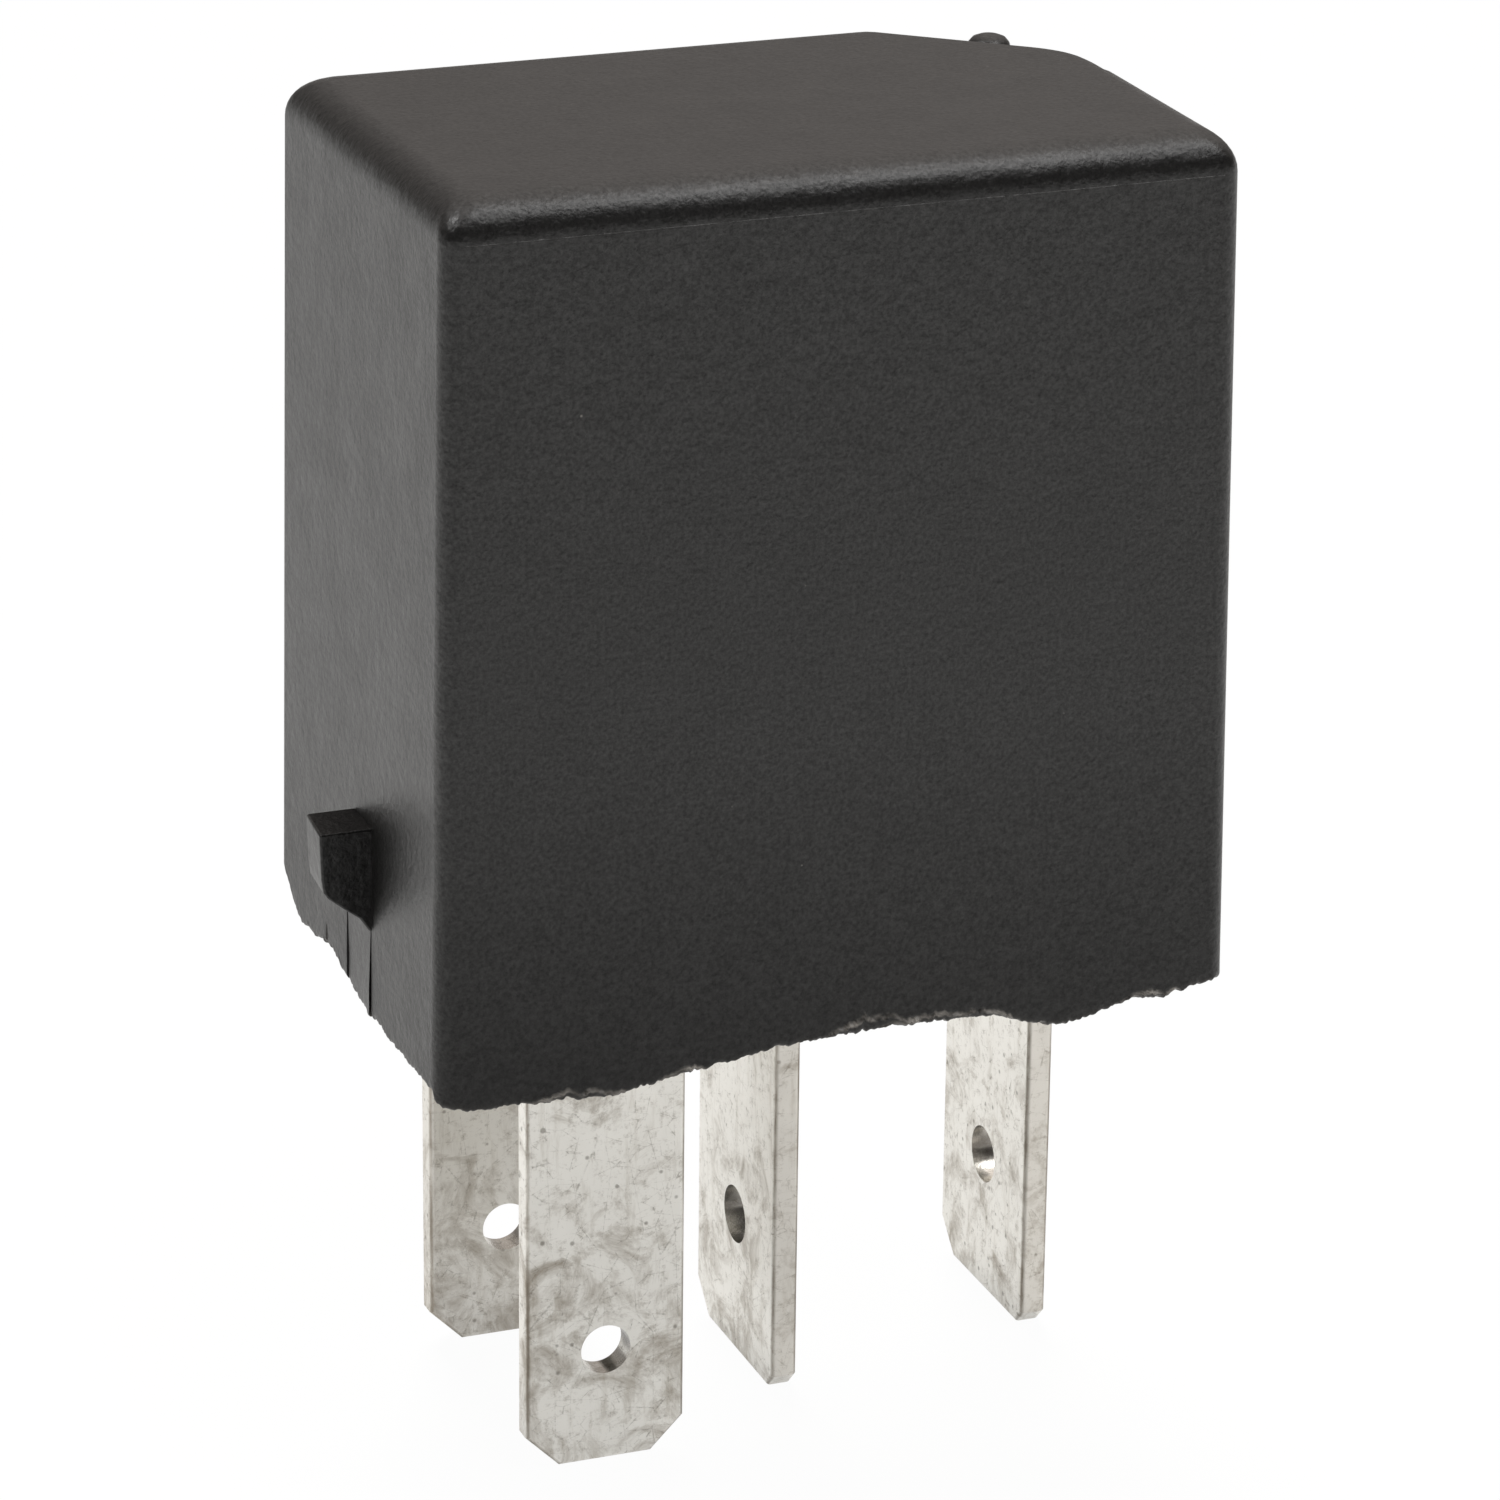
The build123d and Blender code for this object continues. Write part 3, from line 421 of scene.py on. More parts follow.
# Drawn spring steel: dark grey wire with fine draw marks, drawn coarser than they are so that they show.
steel, tree, place = new_material("music_wire_drawn")
draw_mm = 0.08
draw = add(tree, "ShaderNodeTexNoise", {"Vector": place, "Scale": 1 / (draw_mm * MM), "Detail": 2.0})
tone = add(tree, "ShaderNodeMix", {0: draw.outputs["Fac"], 6: linear("#6d6e70"), 7: linear("#8f9092")},
           data_type="RGBA")
finish_material(tree, add(tree, "ShaderNodeBsdfPrincipled", {
    "Base Color": tone.outputs[2], "Metallic": 1.0, "Roughness": 0.32}))
dress(steel, "return_spring")
spring.data.materials.append(steel)
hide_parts("return_spring")
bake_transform(spring)

# Braid: flat plait of bare copper strands, welded at the yoke's lug and to the underside of the leaf. It
# carries the load current past the fulcrum, and is drawn in one fixed bow.
braid_low, braid_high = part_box("braid")
braid_half = (braid_high.y - braid_low.y) / 2
braid_thick = 0.25 * MM
braid_bow = 1.3 * MM
strand_radius = 0.09 * MM
strand_weave = 0.05 * MM
strands_each_way = 8
plait_laps = 2.4
strand_steps = 110
braid_trim = 0.005
foot = Vector((braid_low.x + braid_thick, (braid_low.y + braid_high.y) / 2, braid_low.z))


def braid_spot(along):
    """Middle of the braid at a share of its height: upright at both ends and bowed between."""
    rise = 1 - abs(2 * along - 1)
    bow = braid_bow * rise * rise * (3 - 2 * rise)
    return foot + Vector((bow, 0.0, (braid_high.z - braid_low.z - strand_radius) * along))


plait = []
for strand in range(strands_each_way):
    for way in (-1, 1):
        path = []
        for step in range(strand_steps + 1):
            along = braid_trim + (1 - 2 * braid_trim) * step / strand_steps
            turn = math.tau * (strand / strands_each_way + way * plait_laps * along)
            weave = way * strand_weave * math.sin(strands_each_way * turn)
            across = (braid_half - strand_radius - strand_weave + weave) * math.cos(turn)
            out = (braid_thick - strand_radius - 1.5 * strand_weave + weave) * math.sin(turn)
            path.append(braid_spot(along) + Vector((out, across, 0.0)))
        plait.append(path)
braid = wire("braid_strands", plait, strand_radius)

# Bare copper wire: salmon metal, slightly tarnished between the strands.
copper, tree, place = new_material("bare_copper_braid")
strand_mm = 0.25
strand = add(tree, "ShaderNodeTexNoise", {"Vector": place, "Scale": 1 / (strand_mm * MM), "Detail": 2.0})
tone = add(tree, "ShaderNodeMix", {0: strand.outputs["Fac"], 6: linear("#a65f3c"), 7: linear("#d18a62")},
           data_type="RGBA")
finish_material(tree, add(tree, "ShaderNodeBsdfPrincipled", {
    "Base Color": tone.outputs[2], "Metallic": 1.0, "Roughness": 0.36}))
dress(copper, "braid")
braid.data.materials.append(copper)
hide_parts("braid")
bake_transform(braid)

# Cover: one moulding of black glass-filled PBT, off a spark-eroded tool. It snaps over the base, has a
# latch wedge on a slit tongue, and its lower rim is torn and crumbled where it was cut from its neighbour.
cover_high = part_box("cover")[1]
half_x = cover_high.x
half_y = cover_high.y
top_z = cover_high.z
draft = Vector((0.4, 0.12)) * MM / top_z
wall = 1.0 * MM
roof = 1.2 * MM
top_round = 1.15 * MM
side_round = 0.6 * MM
flat_x = half_x - side_round
flat_y = half_y - side_round
round_steps = 10
rim_top = 2.8 * MM
rim_step = 0.05 * MM
spare = 1.0 * MM
quarter = math.pi / 2
cover_corners = (((-1, -1), 2 * quarter), ((1, -1), 3 * quarter), ((1, 1), 0.0), ((-1, 1), quarter))


def corner(signs, start_turn):
    """Stations round an upright corner: shares of the flat half widths, and the way the wall faces."""
    turns = [start_turn + quarter * step / round_steps for step in range(round_steps + 1)]
    return [(Vector(signs), Vector((math.cos(turn), math.sin(turn)))) for turn in turns]


def run(start, end, out):
    """Stations along a flat wall, in short steps."""
    length = Vector(((end[0] - start[0]) * flat_x, (end[1] - start[1]) * flat_y)).length
    count = round(length / rim_step)
    return [(Vector(start).lerp(Vector(end), step / count), Vector(out)) for step in range(count + 1)]


def wall_point(station, z, inset=0.0, stand=0.0):
    """A point of the drafted wall: the outline set in, then the point moved out along the way it faces."""
    share, out = station
    return Vector((share.x * (flat_x - draft.x * z - inset) + out.x * (side_round + stand),
                   share.y * (flat_y - draft.y * z - inset) + out.y * (side_round + stand), z))


def apply_modifiers(piece):
    """Keep what the modifiers make as the piece's own mesh."""
    shaped = bpy.data.meshes.new_from_object(piece.evaluated_get(bpy.context.evaluated_depsgraph_get()))
    piece.modifiers.clear()
    piece.data = shaped


def combine(piece, tool, operation):
    """Cut a tool from a piece or join it on, and drop the tool."""
    step = piece.modifiers.new(operation, "BOOLEAN")
    step.operation = operation
    step.solver = "EXACT"
    step.object = tool
    apply_modifiers(piece)
    bpy.data.objects.remove(tool)


# Walls and roof: the outline goes up the drafted walls and over the wide top rounds
outline = []
for signs, start_turn in cover_corners:
    outline += corner(signs, start_turn)
levels = [(rim_top, 0.0)]
for step in range(round_steps + 1):
    turn = quarter * step / round_steps
    levels.append((top_z - top_round * (1 - math.sin(turn)), top_round * (1 - math.cos(turn))))
cover_shell = stack("cover_shell", [[wall_point(station, z, inset) for station in outline]
                                    for z, inset in levels])

# Recessed shelf at the rear right corner of the top
shelf_z = top_z - 1.25 * MM
shelf_start = Vector((half_x - 7.35 * MM, half_y))
shelf_turn = Vector((half_x - 1.2 * MM, half_y - 5.2 * MM))
shelf_end_y = half_y - 7.1 * MM
shelf_round = 3.0 * MM
shelf_steps = 12
shelf_run = (shelf_start - shelf_turn).normalized()
shelf_bend = math.pi - shelf_run.angle(Vector((0.0, -1.0)))
shelf_centre = shelf_turn - Vector((shelf_round, shelf_round * math.tan(shelf_bend / 2)))
shelf_line = [shelf_start + shelf_run * spare]
for step in range(shelf_steps + 1):
    turn = shelf_bend * (1 - step / shelf_steps)
    shelf_line.append(shelf_centre + shelf_round * Vector((math.cos(turn), math.sin(turn))))
shelf_line += [Vector((shelf_turn.x, shelf_end_y)), Vector((half_x + spare, shelf_end_y)),
               Vector((half_x + spare, half_y + spare))]
combine(cover_shell, stack("shelf", [[(spot.x, spot.y, z) for spot in shelf_line]
                                     for z in (shelf_z, top_z + spare)]), "DIFFERENCE")

# Vent pip on the shelf, with a domed end
pip_spot = Vector((half_x - 2.75 * MM, half_y - 2.4 * MM, shelf_z))
pip_profile = ((0.7, -0.2), (0.7, 0.0), (0.66, 0.08), (0.65, 0.8), (0.6, 0.98), (0.48, 1.12), (0.3, 1.19))
pip_sides = 32
pip_turns = [math.tau * side / pip_sides for side in range(pip_sides)]
combine(cover_shell, stack("pip", [
    [pip_spot + Vector((radius * math.cos(turn), radius * math.sin(turn), rise)) * MM for turn in pip_turns]
    for radius, rise in pip_profile]), "UNION")

# Latch wedge on the left wall: an end face twisted a little forward, above a ramp that bulges
latch_y = -0.6 * MM
latch_half = 0.875 * MM
latch_reach_front = 1.45 * MM
latch_reach_rear = 1.31 * MM
latch_profile = ((0.3, 5.68), (-1.0, 5.68), (-0.97, 4.3), (-0.93, 3.9), (-0.84, 3.7), (-0.48, 3.28),
                 (-0.2, 2.98), (0.0, 2.55), (0.3, 2.55))
latch_ends = ((latch_reach_front, latch_y - latch_half), (latch_reach_rear, latch_y + latch_half))
latch = stack("latch", [[(-half_x + share * reach, y, z * MM) for share, z in latch_profile]
                        for reach, y in latch_ends])
softening = latch.modifiers.new("soft_edges", "BEVEL")
softening.width = 0.08 * MM
softening.segments = 3
apply_modifiers(latch)
combine(cover_shell, latch, "UNION")

# Hollow inside, held back under the shelf
hollow_line = [Vector((shelf_start.x - 2 * wall, half_y + spare)), shelf_turn - Vector((wall, wall)),
               Vector((shelf_turn.x - wall, shelf_end_y - wall)),
               Vector((half_x + spare, shelf_end_y - wall)), Vector((half_x + spare, half_y + spare))]
hollow = stack("hollow", [[wall_point(station, z, wall) for station in outline]
                          for z in (rim_top - spare, top_z - roof)])
combine(hollow, stack("held_back", [[(spot.x, spot.y, z) for spot in hollow_line]
                                    for z in (shelf_z - roof, top_z + spare)]), "DIFFERENCE")
combine(cover_shell, hollow, "DIFFERENCE")

# Lower rim: followed round the cover in fine steps between the slits, so that it can be torn and crumbled.
# The levels are heights along each wall, in mm, and each crumb is a height, a grain size and a seed.
slit_front_y = -1.45 * MM
slit_rear_y = 0.8 * MM
slit_half = 0.03 * MM
left_levels = ((-7.5, -0.6), (-7.25, -0.42), (-6.9, -0.06), (-4.2, -0.12), (-1.5, -0.04), (-0.5, 0.0),
               (0.9, 0.2), (1.3, 0.28), (2.3, 0.62), (4.3, 0.35), (5.25, 0.24), (6.1, 0.56), (6.8, 1.2),
               (7.5, 1.5))
front_levels = ((-11.9, -0.42), (-11.0, -0.6), (-8.4, -0.66), (-6.6, -0.76), (-6.0, -0.6), (-4.2, -0.32),
                (-1.2, 0.06), (1.8, 0.15), (4.7, 0.06), (5.7, -0.28), (6.6, -0.53), (7.3, -0.51),
                (8.2, -0.24), (9.0, -0.06), (10.1, -0.16), (10.3, 0.0), (11.7, 0.2))
rear_levels = ((-11.9, 1.4), (-10.5, 0.3), (-9.0, 0.1), (11.9, 0.1))
right_level = 0.1
tear_rows = (0.0, 0.03, 0.06, 0.1, 0.15, 0.2, 0.26, 0.33, 0.41, 0.5, 0.62, 0.85)
under_rows = (0.12, 0.35, 0.65, 1.0)
nick_y = 2.75
nick_height = 0.55
nick_half = 0.09
crumbs = ((0.07, 0.7, 1), (0.05, 0.3, 2), (0.045, 0.13, 3))
chip = 0.03
chip_size = 0.1
tongue_twist = 0.05
tongue_hang = 0.6
slit_wander = 0.025
slit_grain = 0.25
under_rise = 0.06
under_crumble = 0.07
under_grain = 0.2
under_pallor = 0.2


def along_levels(levels, spot):
    """Height between the two marks on either side of a spot along the wall."""
    for (start, low), (end, high) in zip(levels, levels[1:]):
        if spot <= end:
            share = min(1.0, max(0.0, (spot - start) / (end - start)))
            return low + (high - low) * share
    return levels[-1][1]


def rough(spot, grain_mm, seed):
    """Repeatable roughness between -1 and 1 at a grain size in mm; a seed that rises shifts it slowly."""
    return noise.noise(Vector((spot.x, spot.y, 0.0)) / (grain_mm * MM) + Vector((0.3, 0.7, seed)))


def rim_level(station):
    """Height of the torn rim at a station, in mm."""
    out = station[1]
    spot = wall_point(station, 0.0)
    side = along_levels(left_levels, spot.y / MM) if out.x < 0 else right_level
    end = along_levels(front_levels, spot.x / MM) if out.y < 0 else along_levels(rear_levels, spot.x / MM)
    level = out.x ** 2 * side + out.y ** 2 * end
    level += sum(height * rough(spot, grain, seed) for height, grain, seed in crumbs)
    level += chip * noise.cell(spot / (chip_size * MM))
    if out.x < 0:
        level += nick_height * math.exp(-((spot.y / MM - nick_y) / nick_half) ** 2)
    return level


# Torn lips along the front, in mm: from, to, height of the tear above the rim, how proud the lip stands
torn_lips = ((-0.4, 2.4, 0.36, 0.06), (1.2, 5.3, 0.2, 0.05), (-9.2, -6.4, 0.2, 0.05),
             (-5.4, -4.0, 0.12, 0.04), (8.6, 10.4, 0.16, 0.04))
lip_foot = 0.3
lip_line = 0.05
edge_pallor = 0.12
pallor_height = 0.06
edge_wear = 0.09
wear_height = 0.04
crumble = 0.04
crumble_grain = 0.2
crumble_height = 0.15


def tear(spot, out, lift):
    """How far the wall stands out, in mm, and how pale it is at a height above the rim: pale where torn, and
    a painted highlight along each torn lip's top edge.
    """
    broken = edge_pallor * math.exp(-lift / pallor_height)
    crumbled = crumble * rough(spot, crumble_grain, 5 + lift * 9) * math.exp(-lift / crumble_height)
    stand = crumbled - edge_wear * math.exp(-lift / wear_height)
    if out.y < -0.99:
        for start, end, height, proud in torn_lips:
            along = (spot.x / MM - start) / (end - start)
            if 0 < along < 1:
                edge = height * math.sin(math.pi * along) ** 0.5
                edge *= 1 + 0.45 * rough(spot, 0.6, 4) + 0.3 * rough(spot, 0.18, 7)
                if lift < edge:
                    ragged = 1 + 0.3 * rough(spot, 0.22, 11 + 6 * lift)
                    stand += proud * (lip_foot + (1 - lip_foot) * lift / edge) * ragged
                # Painted highlight: a pale line along the top edge of each torn lip, where its up-facing
                # ledge catches the light.
                pale = 0.4 + 0.6 * rough(spot, 0.35, 15)
                broken = max(broken, pale * math.exp(-((lift - edge) / lip_line) ** 2))
    return stand, broken


def skin(form, columns):
    """Close a run of columns of corners into one solid, with both ends capped."""
    for here, after in zip(columns, columns[1:]):
        for row in range(len(here)):
            below = (row + 1) % len(here)
            form.faces.new((here[row], after[row], after[below], here[below]))
    form.faces.new(columns[0])
    form.faces.new(columns[-1])


def build_rim(form, stations, twist, shade_spared):
    """Add one closed stretch of rim; twist, in mm, swings its front edge out and its rear edge in."""
    # The last argument, 1 on the tongue and 0 elsewhere, is stored as the rubbed attribute, which keeps the
    # painted rim shade off the tongue.
    torn = form.verts.layers.float.get("torn") or form.verts.layers.float.new("torn")
    rubbed = form.verts.layers.float.get("rubbed") or form.verts.layers.float.new("rubbed")
    columns = []
    for step, station in enumerate(stations):
        spot = wall_point(station, 0.0)
        level = rim_level(station)
        swing = twist * (2 * step / (len(stations) - 1) - 1)
        rows = [(wall_point(station, rim_top), 0.0)]
        for lift in reversed(tear_rows):
            z = level + lift
            hang = min(1.0, (rim_top / MM - z) / tongue_hang)
            stand, broken = tear(spot, station[1], lift)
            rows.append((wall_point(station, z * MM, 0.0, (stand + swing * hang) * MM), broken))
        outer = rows[-1][0]
        inner = wall_point(station, rim_top, wall)
        for share in under_rows:
            under = outer.lerp(inner, share)
            crumbled = under_crumble * rough(under, under_grain, 20 + 3 * share)
            under.z = (level + under_rise * share + crumbled) * MM
            rows.append((under, under_pallor))
        rows.append((inner, 0.0))
        column = []
        for point, broken in rows:
            if step in (0, len(stations) - 1):
                point.y += slit_wander * MM * rough(Vector((point.z, 0.0)), slit_grain, 40 + step)
            column.append(form.verts.new(point))
            column[-1][torn] = broken
            column[-1][rubbed] = shade_spared
        columns.append(column)
    skin(form, columns)


front_edge = (slit_front_y - slit_half) / flat_y
rear_edge = (slit_rear_y + slit_half) / flat_y
round_the_cover = (
    run((-1, front_edge), (-1, -1), (-1, 0)) + corner(*cover_corners[0])[1:-1]
    + run((-1, -1), (1, -1), (0, -1)) + corner(*cover_corners[1])[1:-1]
    + run((1, -1), (1, 1), (1, 0)) + corner(*cover_corners[2])[1:-1]
    + run((1, 1), (-1, 1), (0, 1)) + corner(*cover_corners[3])[1:-1]
    + run((-1, 1), (-1, rear_edge), (-1, 0)))
slit_gap = 2 * slit_half / flat_y
down_the_tongue = run((-1, rear_edge - slit_gap), (-1, front_edge + slit_gap), (-1, 0))
form = bmesh.new()
build_rim(form, round_the_cover, 0.0, 0.0)
build_rim(form, down_the_tongue, tongue_twist, 1.0)
rim = place_mesh("rim", form)

# Flash: the thin ridge that the tool's parting leaves under the front top round, coloured pale grey as a
# painted highlight
flash_z = top_z - top_round
flash_half = 0.04 * MM
flash_crest = 0.03 * MM
flash_rough = 0.02 * MM
flash_grain_mm = 0.25
form = bmesh.new()
ridge = []
for station in run((-1, -1), (1, -1), (0, -1)):
    spot = wall_point(station, flash_z)
    crest = flash_crest + flash_rough * rough(spot, flash_grain_mm, 31)
    ridge.append([form.verts.new(wall_point(station, flash_z + up, 0.0, stand)) for stand, up in (
        (-flash_half, -flash_half), (crest, 0.0), (-flash_half, flash_half))])
skin(form, ridge)
flash = place_mesh("flash", form)

joined = bmesh.new()
for piece in (cover_shell, rim, flash):
    first = len(joined.faces)
    joined.from_mesh(piece.data)
    joined.faces.ensure_lookup_table()
    for face in joined.faces[first:]:
        face.material_index = 1 if piece is flash else 0
        face.smooth = True
joined.to_mesh(cover_shell.data)
joined.free()
bpy.data.objects.remove(rim)
bpy.data.objects.remove(flash)
crease = math.radians(32)
cover_shell.data.set_sharp_from_angle(angle=crease)
weighting = cover_shell.modifiers.new("flat_walls", "WEIGHTED_NORMAL")
weighting.keep_sharp = True
apply_modifiers(cover_shell)

# Spark-eroded PBT: matt charcoal with a fine even grain and a coarser peel that break up its sheen, and
# painted shade that weakens the sheen towards the rim; the torn rim is paler and dull with a painted
# highlight along the torn lips' top edges, and a little pale dust sits on it.
cover_black, tree, place = new_material("pbt_spark_eroded_matt_black")
grain_mm = 0.12
grain_depth_mm = 0.035
peel_mm = 0.38
peel_depth_mm = 0.075
mottle_mm = 1.6
dust_mm = 1.1
grain = add(tree, "ShaderNodeTexNoise", {
    "Vector": place, "Scale": 1 / (grain_mm * MM), "Detail": 3.0, "Roughness": 0.65})
mottle = add(tree, "ShaderNodeTexNoise", {"Vector": place, "Scale": 1 / (mottle_mm * MM), "Detail": 5.0,
                                          "Roughness": 0.6})
tone = add(tree, "ShaderNodeMix", {0: grain.outputs["Fac"], 6: linear("#0a0909"), 7: linear("#161514")},
           data_type="RGBA")
# The torn attribute carries the pale torn plastic and the painted highlight along the torn lips.
torn = add(tree, "ShaderNodeAttribute", {}, attribute_name="torn")
broken = add(tree, "ShaderNodeMix", {0: torn.outputs["Fac"], 6: tone.outputs[2], 7: linear("#c9c4bd")},
             data_type="RGBA")
dust = add(tree, "ShaderNodeTexVoronoi", {"Vector": place, "Scale": 1 / (dust_mm * MM), "Randomness": 1.0})
dust_size = add(tree, "ShaderNodeSeparateColor", {0: dust.outputs["Color"]})
dust_edge = add(tree, "ShaderNodeMapRange", {0: dust_size.outputs[0], 1: 0.6, 2: 1.0, 3: 0.0, 4: 0.05})
mote = add(tree, "ShaderNodeMath", {0: dust_edge.outputs[0], 1: dust.outputs["Distance"]},
           operation="SUBTRACT")
speck = add(tree, "ShaderNodeMapRange", {0: mote.outputs[0], 1: 0.0, 2: 0.03, 4: 0.6})
dusty = add(tree, "ShaderNodeMix", {0: speck.outputs[0], 6: broken.outputs[2], 7: linear("#8d8a85")},
            data_type="RGBA")
dull = add(tree, "ShaderNodeMapRange", {0: mottle.outputs["Fac"], 1: 0.3, 2: 0.7, 3: 0.37, 4: 0.43})
glint = add(tree, "ShaderNodeMapRange", {0: grain.outputs["Fac"], 1: 0.3, 2: 0.7, 3: 0.31, 4: 0.59})
height = add(tree, "ShaderNodeSeparateXYZ", {0: place})
# Painted shade: the sheen weakens towards the rim, so the walls are darker near their bottoms; the tongue,
# marked by the rubbed attribute, keeps its full sheen.
rim_shade_fade = add(tree, "ShaderNodeMapRange", {0: height.outputs["Z"], 1: -1.0 * MM, 2: 9.0 * MM, 3: 0.62, 4: 1.0})
shade_spared = add(tree, "ShaderNodeAttribute", {}, attribute_name="rubbed")
kept = add(tree, "ShaderNodeMath", {0: rim_shade_fade.outputs[0], 1: shade_spared.outputs["Fac"]}, operation="MAXIMUM")
sheen = add(tree, "ShaderNodeMath", {0: glint.outputs[0], 1: kept.outputs[0]}, operation="MULTIPLY")
peel = add(tree, "ShaderNodeTexNoise", {"Vector": place, "Scale": 1 / (peel_mm * MM), "Detail": 2.0})
peeled = add(tree, "ShaderNodeBump", {"Height": peel.outputs["Fac"], "Strength": 0.4,
                                      "Distance": peel_depth_mm * MM})
grained = add(tree, "ShaderNodeBump", {"Height": grain.outputs["Fac"], "Strength": 0.4,
                                       "Distance": grain_depth_mm * MM, "Normal": peeled.outputs[0]})
finish_material(tree, add(tree, "ShaderNodeBsdfPrincipled", {
    "Base Color": dusty.outputs[2], "Roughness": dull.outputs[0], "IOR": 1.57,
    "Specular IOR Level": sheen.outputs[0], "Normal": grained.outputs[0]}))
dress(cover_black, "cover")

# Flash PBT: the same plastic squeezed thin in the tool's parting, given a dull mid grey as a painted
# highlight where the ridge catches the light.
flash_painted_highlight, tree, place = new_material("pbt_flash_painted_highlight")
finish_material(tree, add(tree, "ShaderNodeBsdfPrincipled", {
    "Base Color": linear("#a39f99"), "Roughness": 0.6, "IOR": 1.57}))
cover_shell.data.materials.clear()
cover_shell.data.materials.append(cover_black)
cover_shell.data.materials.append(flash_painted_highlight)
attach(cover_shell, "relay_body")
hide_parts("cover")

# Sealing resin: black epoxy, poured over the base from below and cured level with the seat. It bonds the base
# and the blades into the cover.

# Cast epoxy: glossy near-black with a slight brown cast.
resin, tree, place = new_material("epoxy_cast_black")
wave_mm = 2.0
wave = add(tree, "ShaderNodeTexNoise", {"Vector": place, "Scale": 1 / (wave_mm * MM), "Detail": 2.0})
tone = add(tree, "ShaderNodeMix", {0: wave.outputs["Fac"], 6: linear("#141312"), 7: linear("#1f1c1a")},
           data_type="RGBA")
waved = add(tree, "ShaderNodeBump", {"Height": wave.outputs["Fac"], "Strength": 0.4, "Distance": 0.1 * MM})
finish_material(tree, add(tree, "ShaderNodeBsdfPrincipled", {
    "Base Color": tone.outputs[2], "Roughness": 0.22, "IOR": 1.55, "Normal": waved.outputs[0]}))
dress(resin, "base_seal")

# Table and light: a pale table under the blade tips, a white surround behind and a darker room in front. A
# broad key from the rear lays the shadow forward, a softbox overhead draws the line along the front edge, one
# at the left the glint on the near corner, and a low strip brightens the table to the left.
floor_z = cad_box[0].z
table_half = 2.0
table_mesh = bpy.data.meshes.new("table")
table_mesh.from_pydata([(-table_half, -table_half, floor_z), (table_half, -table_half, floor_z),
                        (table_half, table_half, floor_z), (-table_half, table_half, floor_z)],
                       [], [(0, 1, 2, 3)])
table = bpy.data.objects.new("table", table_mesh)
bpy.context.scene.collection.objects.link(table)


def seen_rays(tree):
    """The light path's rays, and those among them that show a background: straight, mirrored or through."""
    rays = add(tree, "ShaderNodeLightPath", {}).outputs
    straight = add(tree, "ShaderNodeMath", {0: rays["Is Camera Ray"], 1: rays["Is Glossy Ray"]},
                   operation="MAXIMUM")
    shown = add(tree, "ShaderNodeMath", {0: straight.outputs[0], 1: rays["Is Transmission Ray"]},
                operation="MAXIMUM")
    return rays, shown


# Pale card: even off-white that the camera and the metal see as white, with the shadow kept faint.
card, tree, place = new_material("pale_card_table")
mirror_white = 0.64
camera_white = 0.97
rays, shown = seen_rays(tree)
mirrored = add(tree, "ShaderNodeMath", {0: shown.outputs[0], 1: mirror_white}, operation="MULTIPLY")
looked_at = add(tree, "ShaderNodeMath", {0: rays["Is Camera Ray"], 1: camera_white}, operation="MULTIPLY")
white_share = add(tree, "ShaderNodeMath", {0: mirrored.outputs[0], 1: looked_at.outputs[0]},
                  operation="MAXIMUM")
paper = add(tree, "ShaderNodeBsdfDiffuse", {"Color": linear("#e9e7e3")})
white = add(tree, "ShaderNodeEmission", {"Color": (1.0, 1.0, 1.0, 1.0), "Strength": 1.0})
finish_material(tree, add(tree, "ShaderNodeMixShader", {
    0: white_share.outputs[0], 1: paper.outputs[0], 2: white.outputs[0]}))
table_mesh.materials.append(card)

# Surround: white to the camera, brighter behind, to the right and overhead than in front
world = bpy.data.worlds.new("studio")
bpy.context.scene.world = world
world.use_nodes = True
tree = world.node_tree
tree.nodes.clear()
rays, shown = seen_rays(tree)
direction = add(tree, "ShaderNodeTexCoord", {})
toward = add(tree, "ShaderNodeSeparateXYZ", {0: direction.outputs["Generated"]})
lean = add(tree, "ShaderNodeVectorMath", {0: direction.outputs["Generated"], 1: (0.0, 0.8, 0.5)},
           operation="DOT_PRODUCT")
behind = add(tree, "ShaderNodeMapRange", {0: lean.outputs["Value"], 1: 0.05, 2: 0.5, 3: 0.04, 4: 0.44})
rightward = add(tree, "ShaderNodeMapRange", {0: toward.outputs["X"], 1: -0.4, 2: 0.4, 3: 0.5, 4: 1.0})
sided = add(tree, "ShaderNodeMath", {0: behind.outputs[0], 1: rightward.outputs[0]}, operation="MULTIPLY")
overhead = add(tree, "ShaderNodeMapRange", {0: toward.outputs["Z"], 1: 0.36, 2: 0.85, 3: 1.0, 4: 3.3})
domed = add(tree, "ShaderNodeMath", {0: sided.outputs[0], 1: overhead.outputs[0]}, operation="MULTIPLY")
room = add(tree, "ShaderNodeMapRange", {0: shown.outputs[0], 3: 0.35, 4: 1.0})
level = add(tree, "ShaderNodeMath", {0: domed.outputs[0], 1: room.outputs[0]}, operation="MULTIPLY")
camera_level = add(tree, "ShaderNodeMath", {0: level.outputs[0], 1: rays["Is Camera Ray"]},
                   operation="MAXIMUM")
surround = add(tree, "ShaderNodeBackground", {"Color": linear("#fff7f1"),
                                              "Strength": camera_level.outputs[0]})
add(tree, "ShaderNodeOutputWorld", {"Surface": surround.outputs[0]})


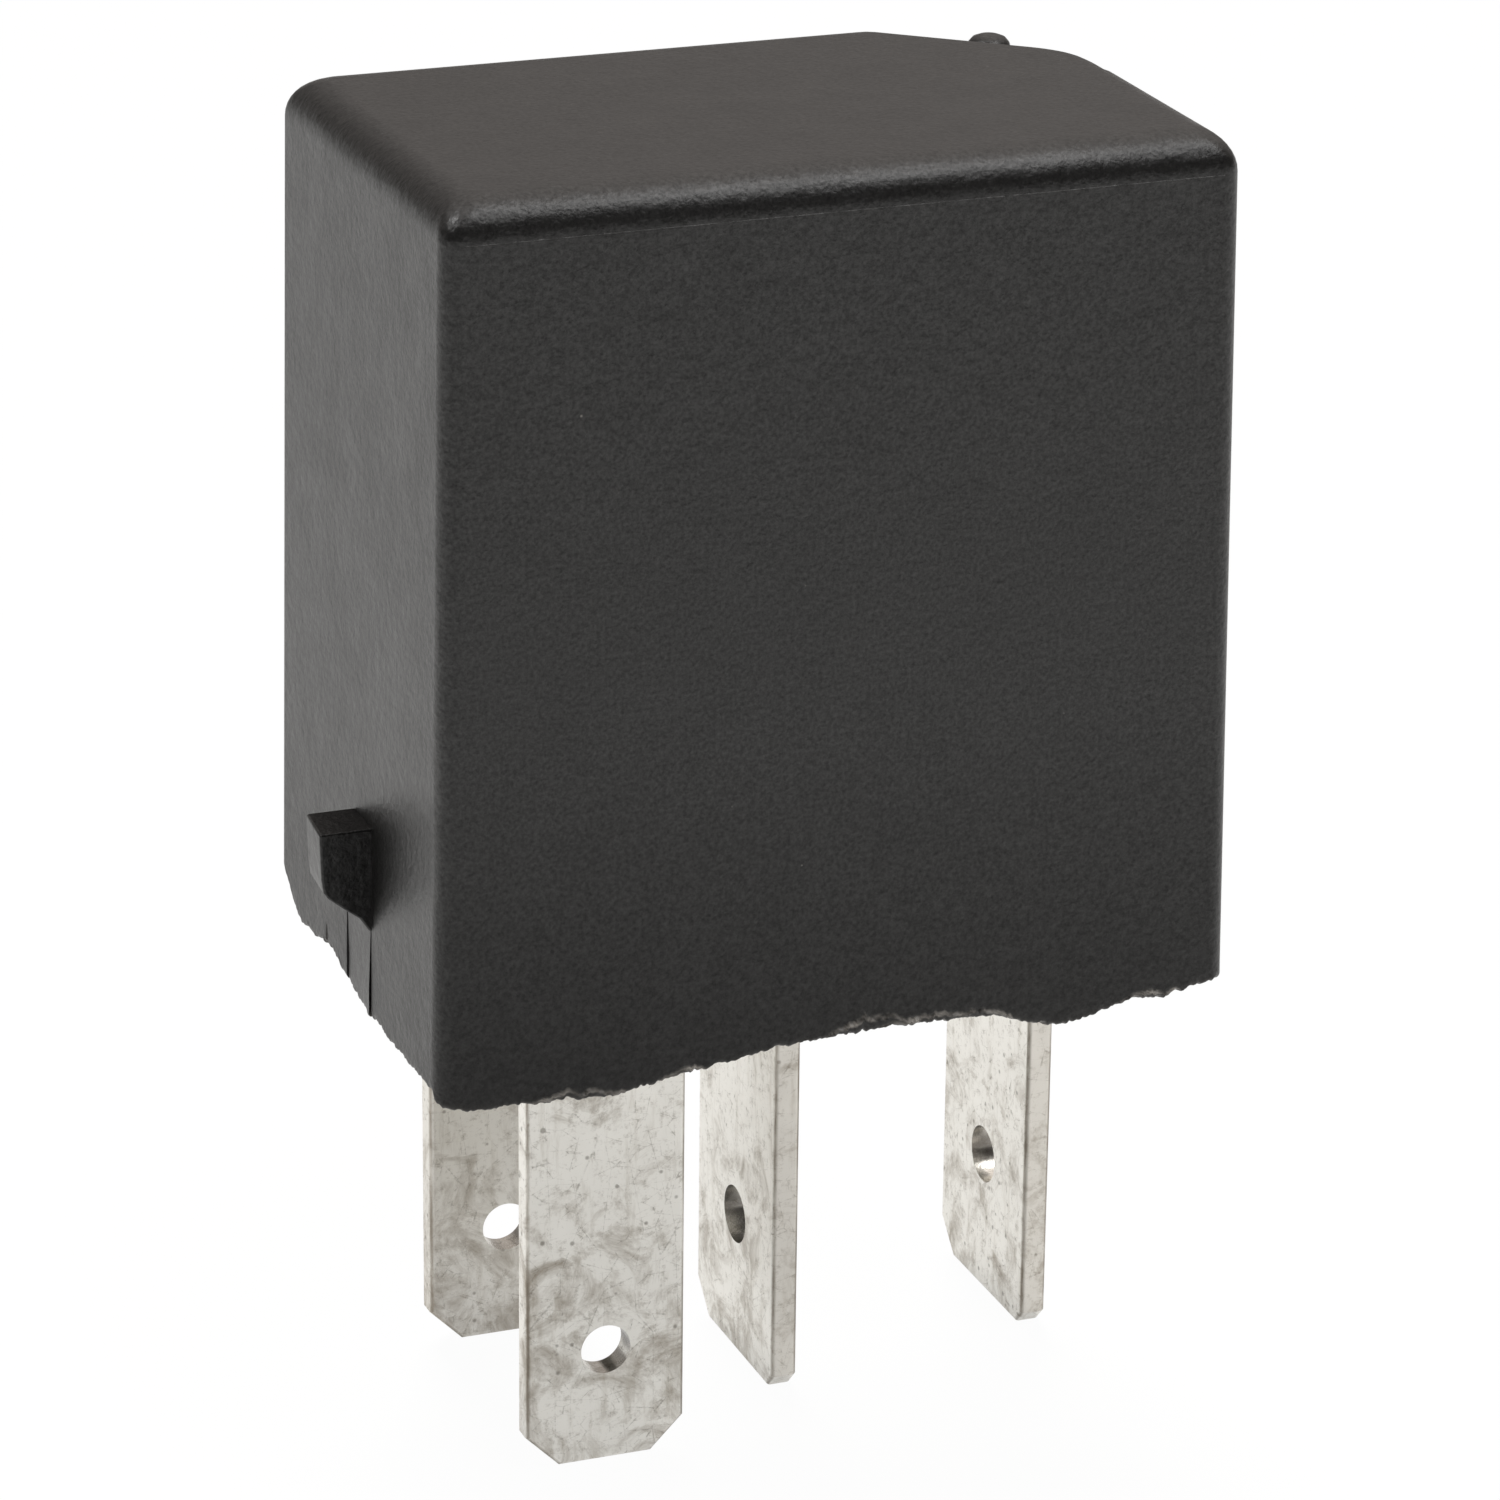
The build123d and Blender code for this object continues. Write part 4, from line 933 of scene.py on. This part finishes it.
def hang_lamp(name, kind, strength, spot, aim):
    """A lamp at one spot that faces another; the camera doesn't see it."""
    lamp = bpy.data.lights.new(name, kind)
    lamp.energy = strength
    holder = bpy.data.objects.new(name, lamp)
    holder.location = spot
    holder.rotation_euler = (Vector(aim) - Vector(spot)).to_track_quat("-Z", "Y").to_euler()
    holder.visible_camera = False
    bpy.context.scene.collection.objects.link(holder)
    return holder


relay_middle = (0.0, 0.0, 0.006)
top_softbox = hang_lamp("top_softbox", "AREA", 0.35, (0.1, -0.09, 0.28), relay_middle)
top_softbox.data.size = 0.15
left_softbox = hang_lamp("left_softbox", "AREA", 0.35, (-0.155, 0.006, 0.27), relay_middle)
left_softbox.data.size = 0.05
left_softbox.visible_diffuse = False
table_strip = hang_lamp("left_table_strip", "AREA", 0.018, (-0.07, 0.024, 0.008), (-0.07, 0.024, floor_z))
table_strip.data.shape = "RECTANGLE"
table_strip.data.size = 0.07
table_strip.data.size_y = 0.025
table_strip.rotation_euler = (0.0, 0.0, math.radians(-29))
rear_key = hang_lamp("rear_key", "SUN", 4.5, (0.15, 0.7, 0.7), (0.0, 0.0, 0.0))
rear_key.data.angle = math.radians(30)
rear_key.visible_glossy = False

# Camera: a long lens at the photograph's angle, level but for a slight roll, from a fit to the edges of the
# cover and the blades.
lens_mm = 150.69
sensor_mm = 36.0
yaw = math.radians(-21.15)
pitch = math.radians(20.71)
camera_roll = math.radians(0.662)
distance = 181.687 * MM
target = Vector((0.177, 0.319, 5.901)) * MM
back = Vector((math.sin(yaw) * math.cos(pitch), -math.cos(yaw) * math.cos(pitch), math.sin(pitch)))
level_right = Vector((math.cos(yaw), math.sin(yaw), 0.0))
level_up = back.cross(level_right)
right = math.cos(camera_roll) * level_right + math.sin(camera_roll) * level_up
up = math.cos(camera_roll) * level_up - math.sin(camera_roll) * level_right
lens = bpy.data.cameras.new("camera")
lens.lens = lens_mm
lens.sensor_width = sensor_mm
lens.clip_start = 0.005
camera = bpy.data.objects.new("camera", lens)
camera.matrix_world = Matrix.Translation(target + distance * back) @ Matrix(
    (right, up, back)).transposed().to_4x4()
bpy.context.scene.collection.objects.link(camera)
bpy.context.scene.camera = camera
bpy.context.scene.view_settings.view_transform = "Standard"
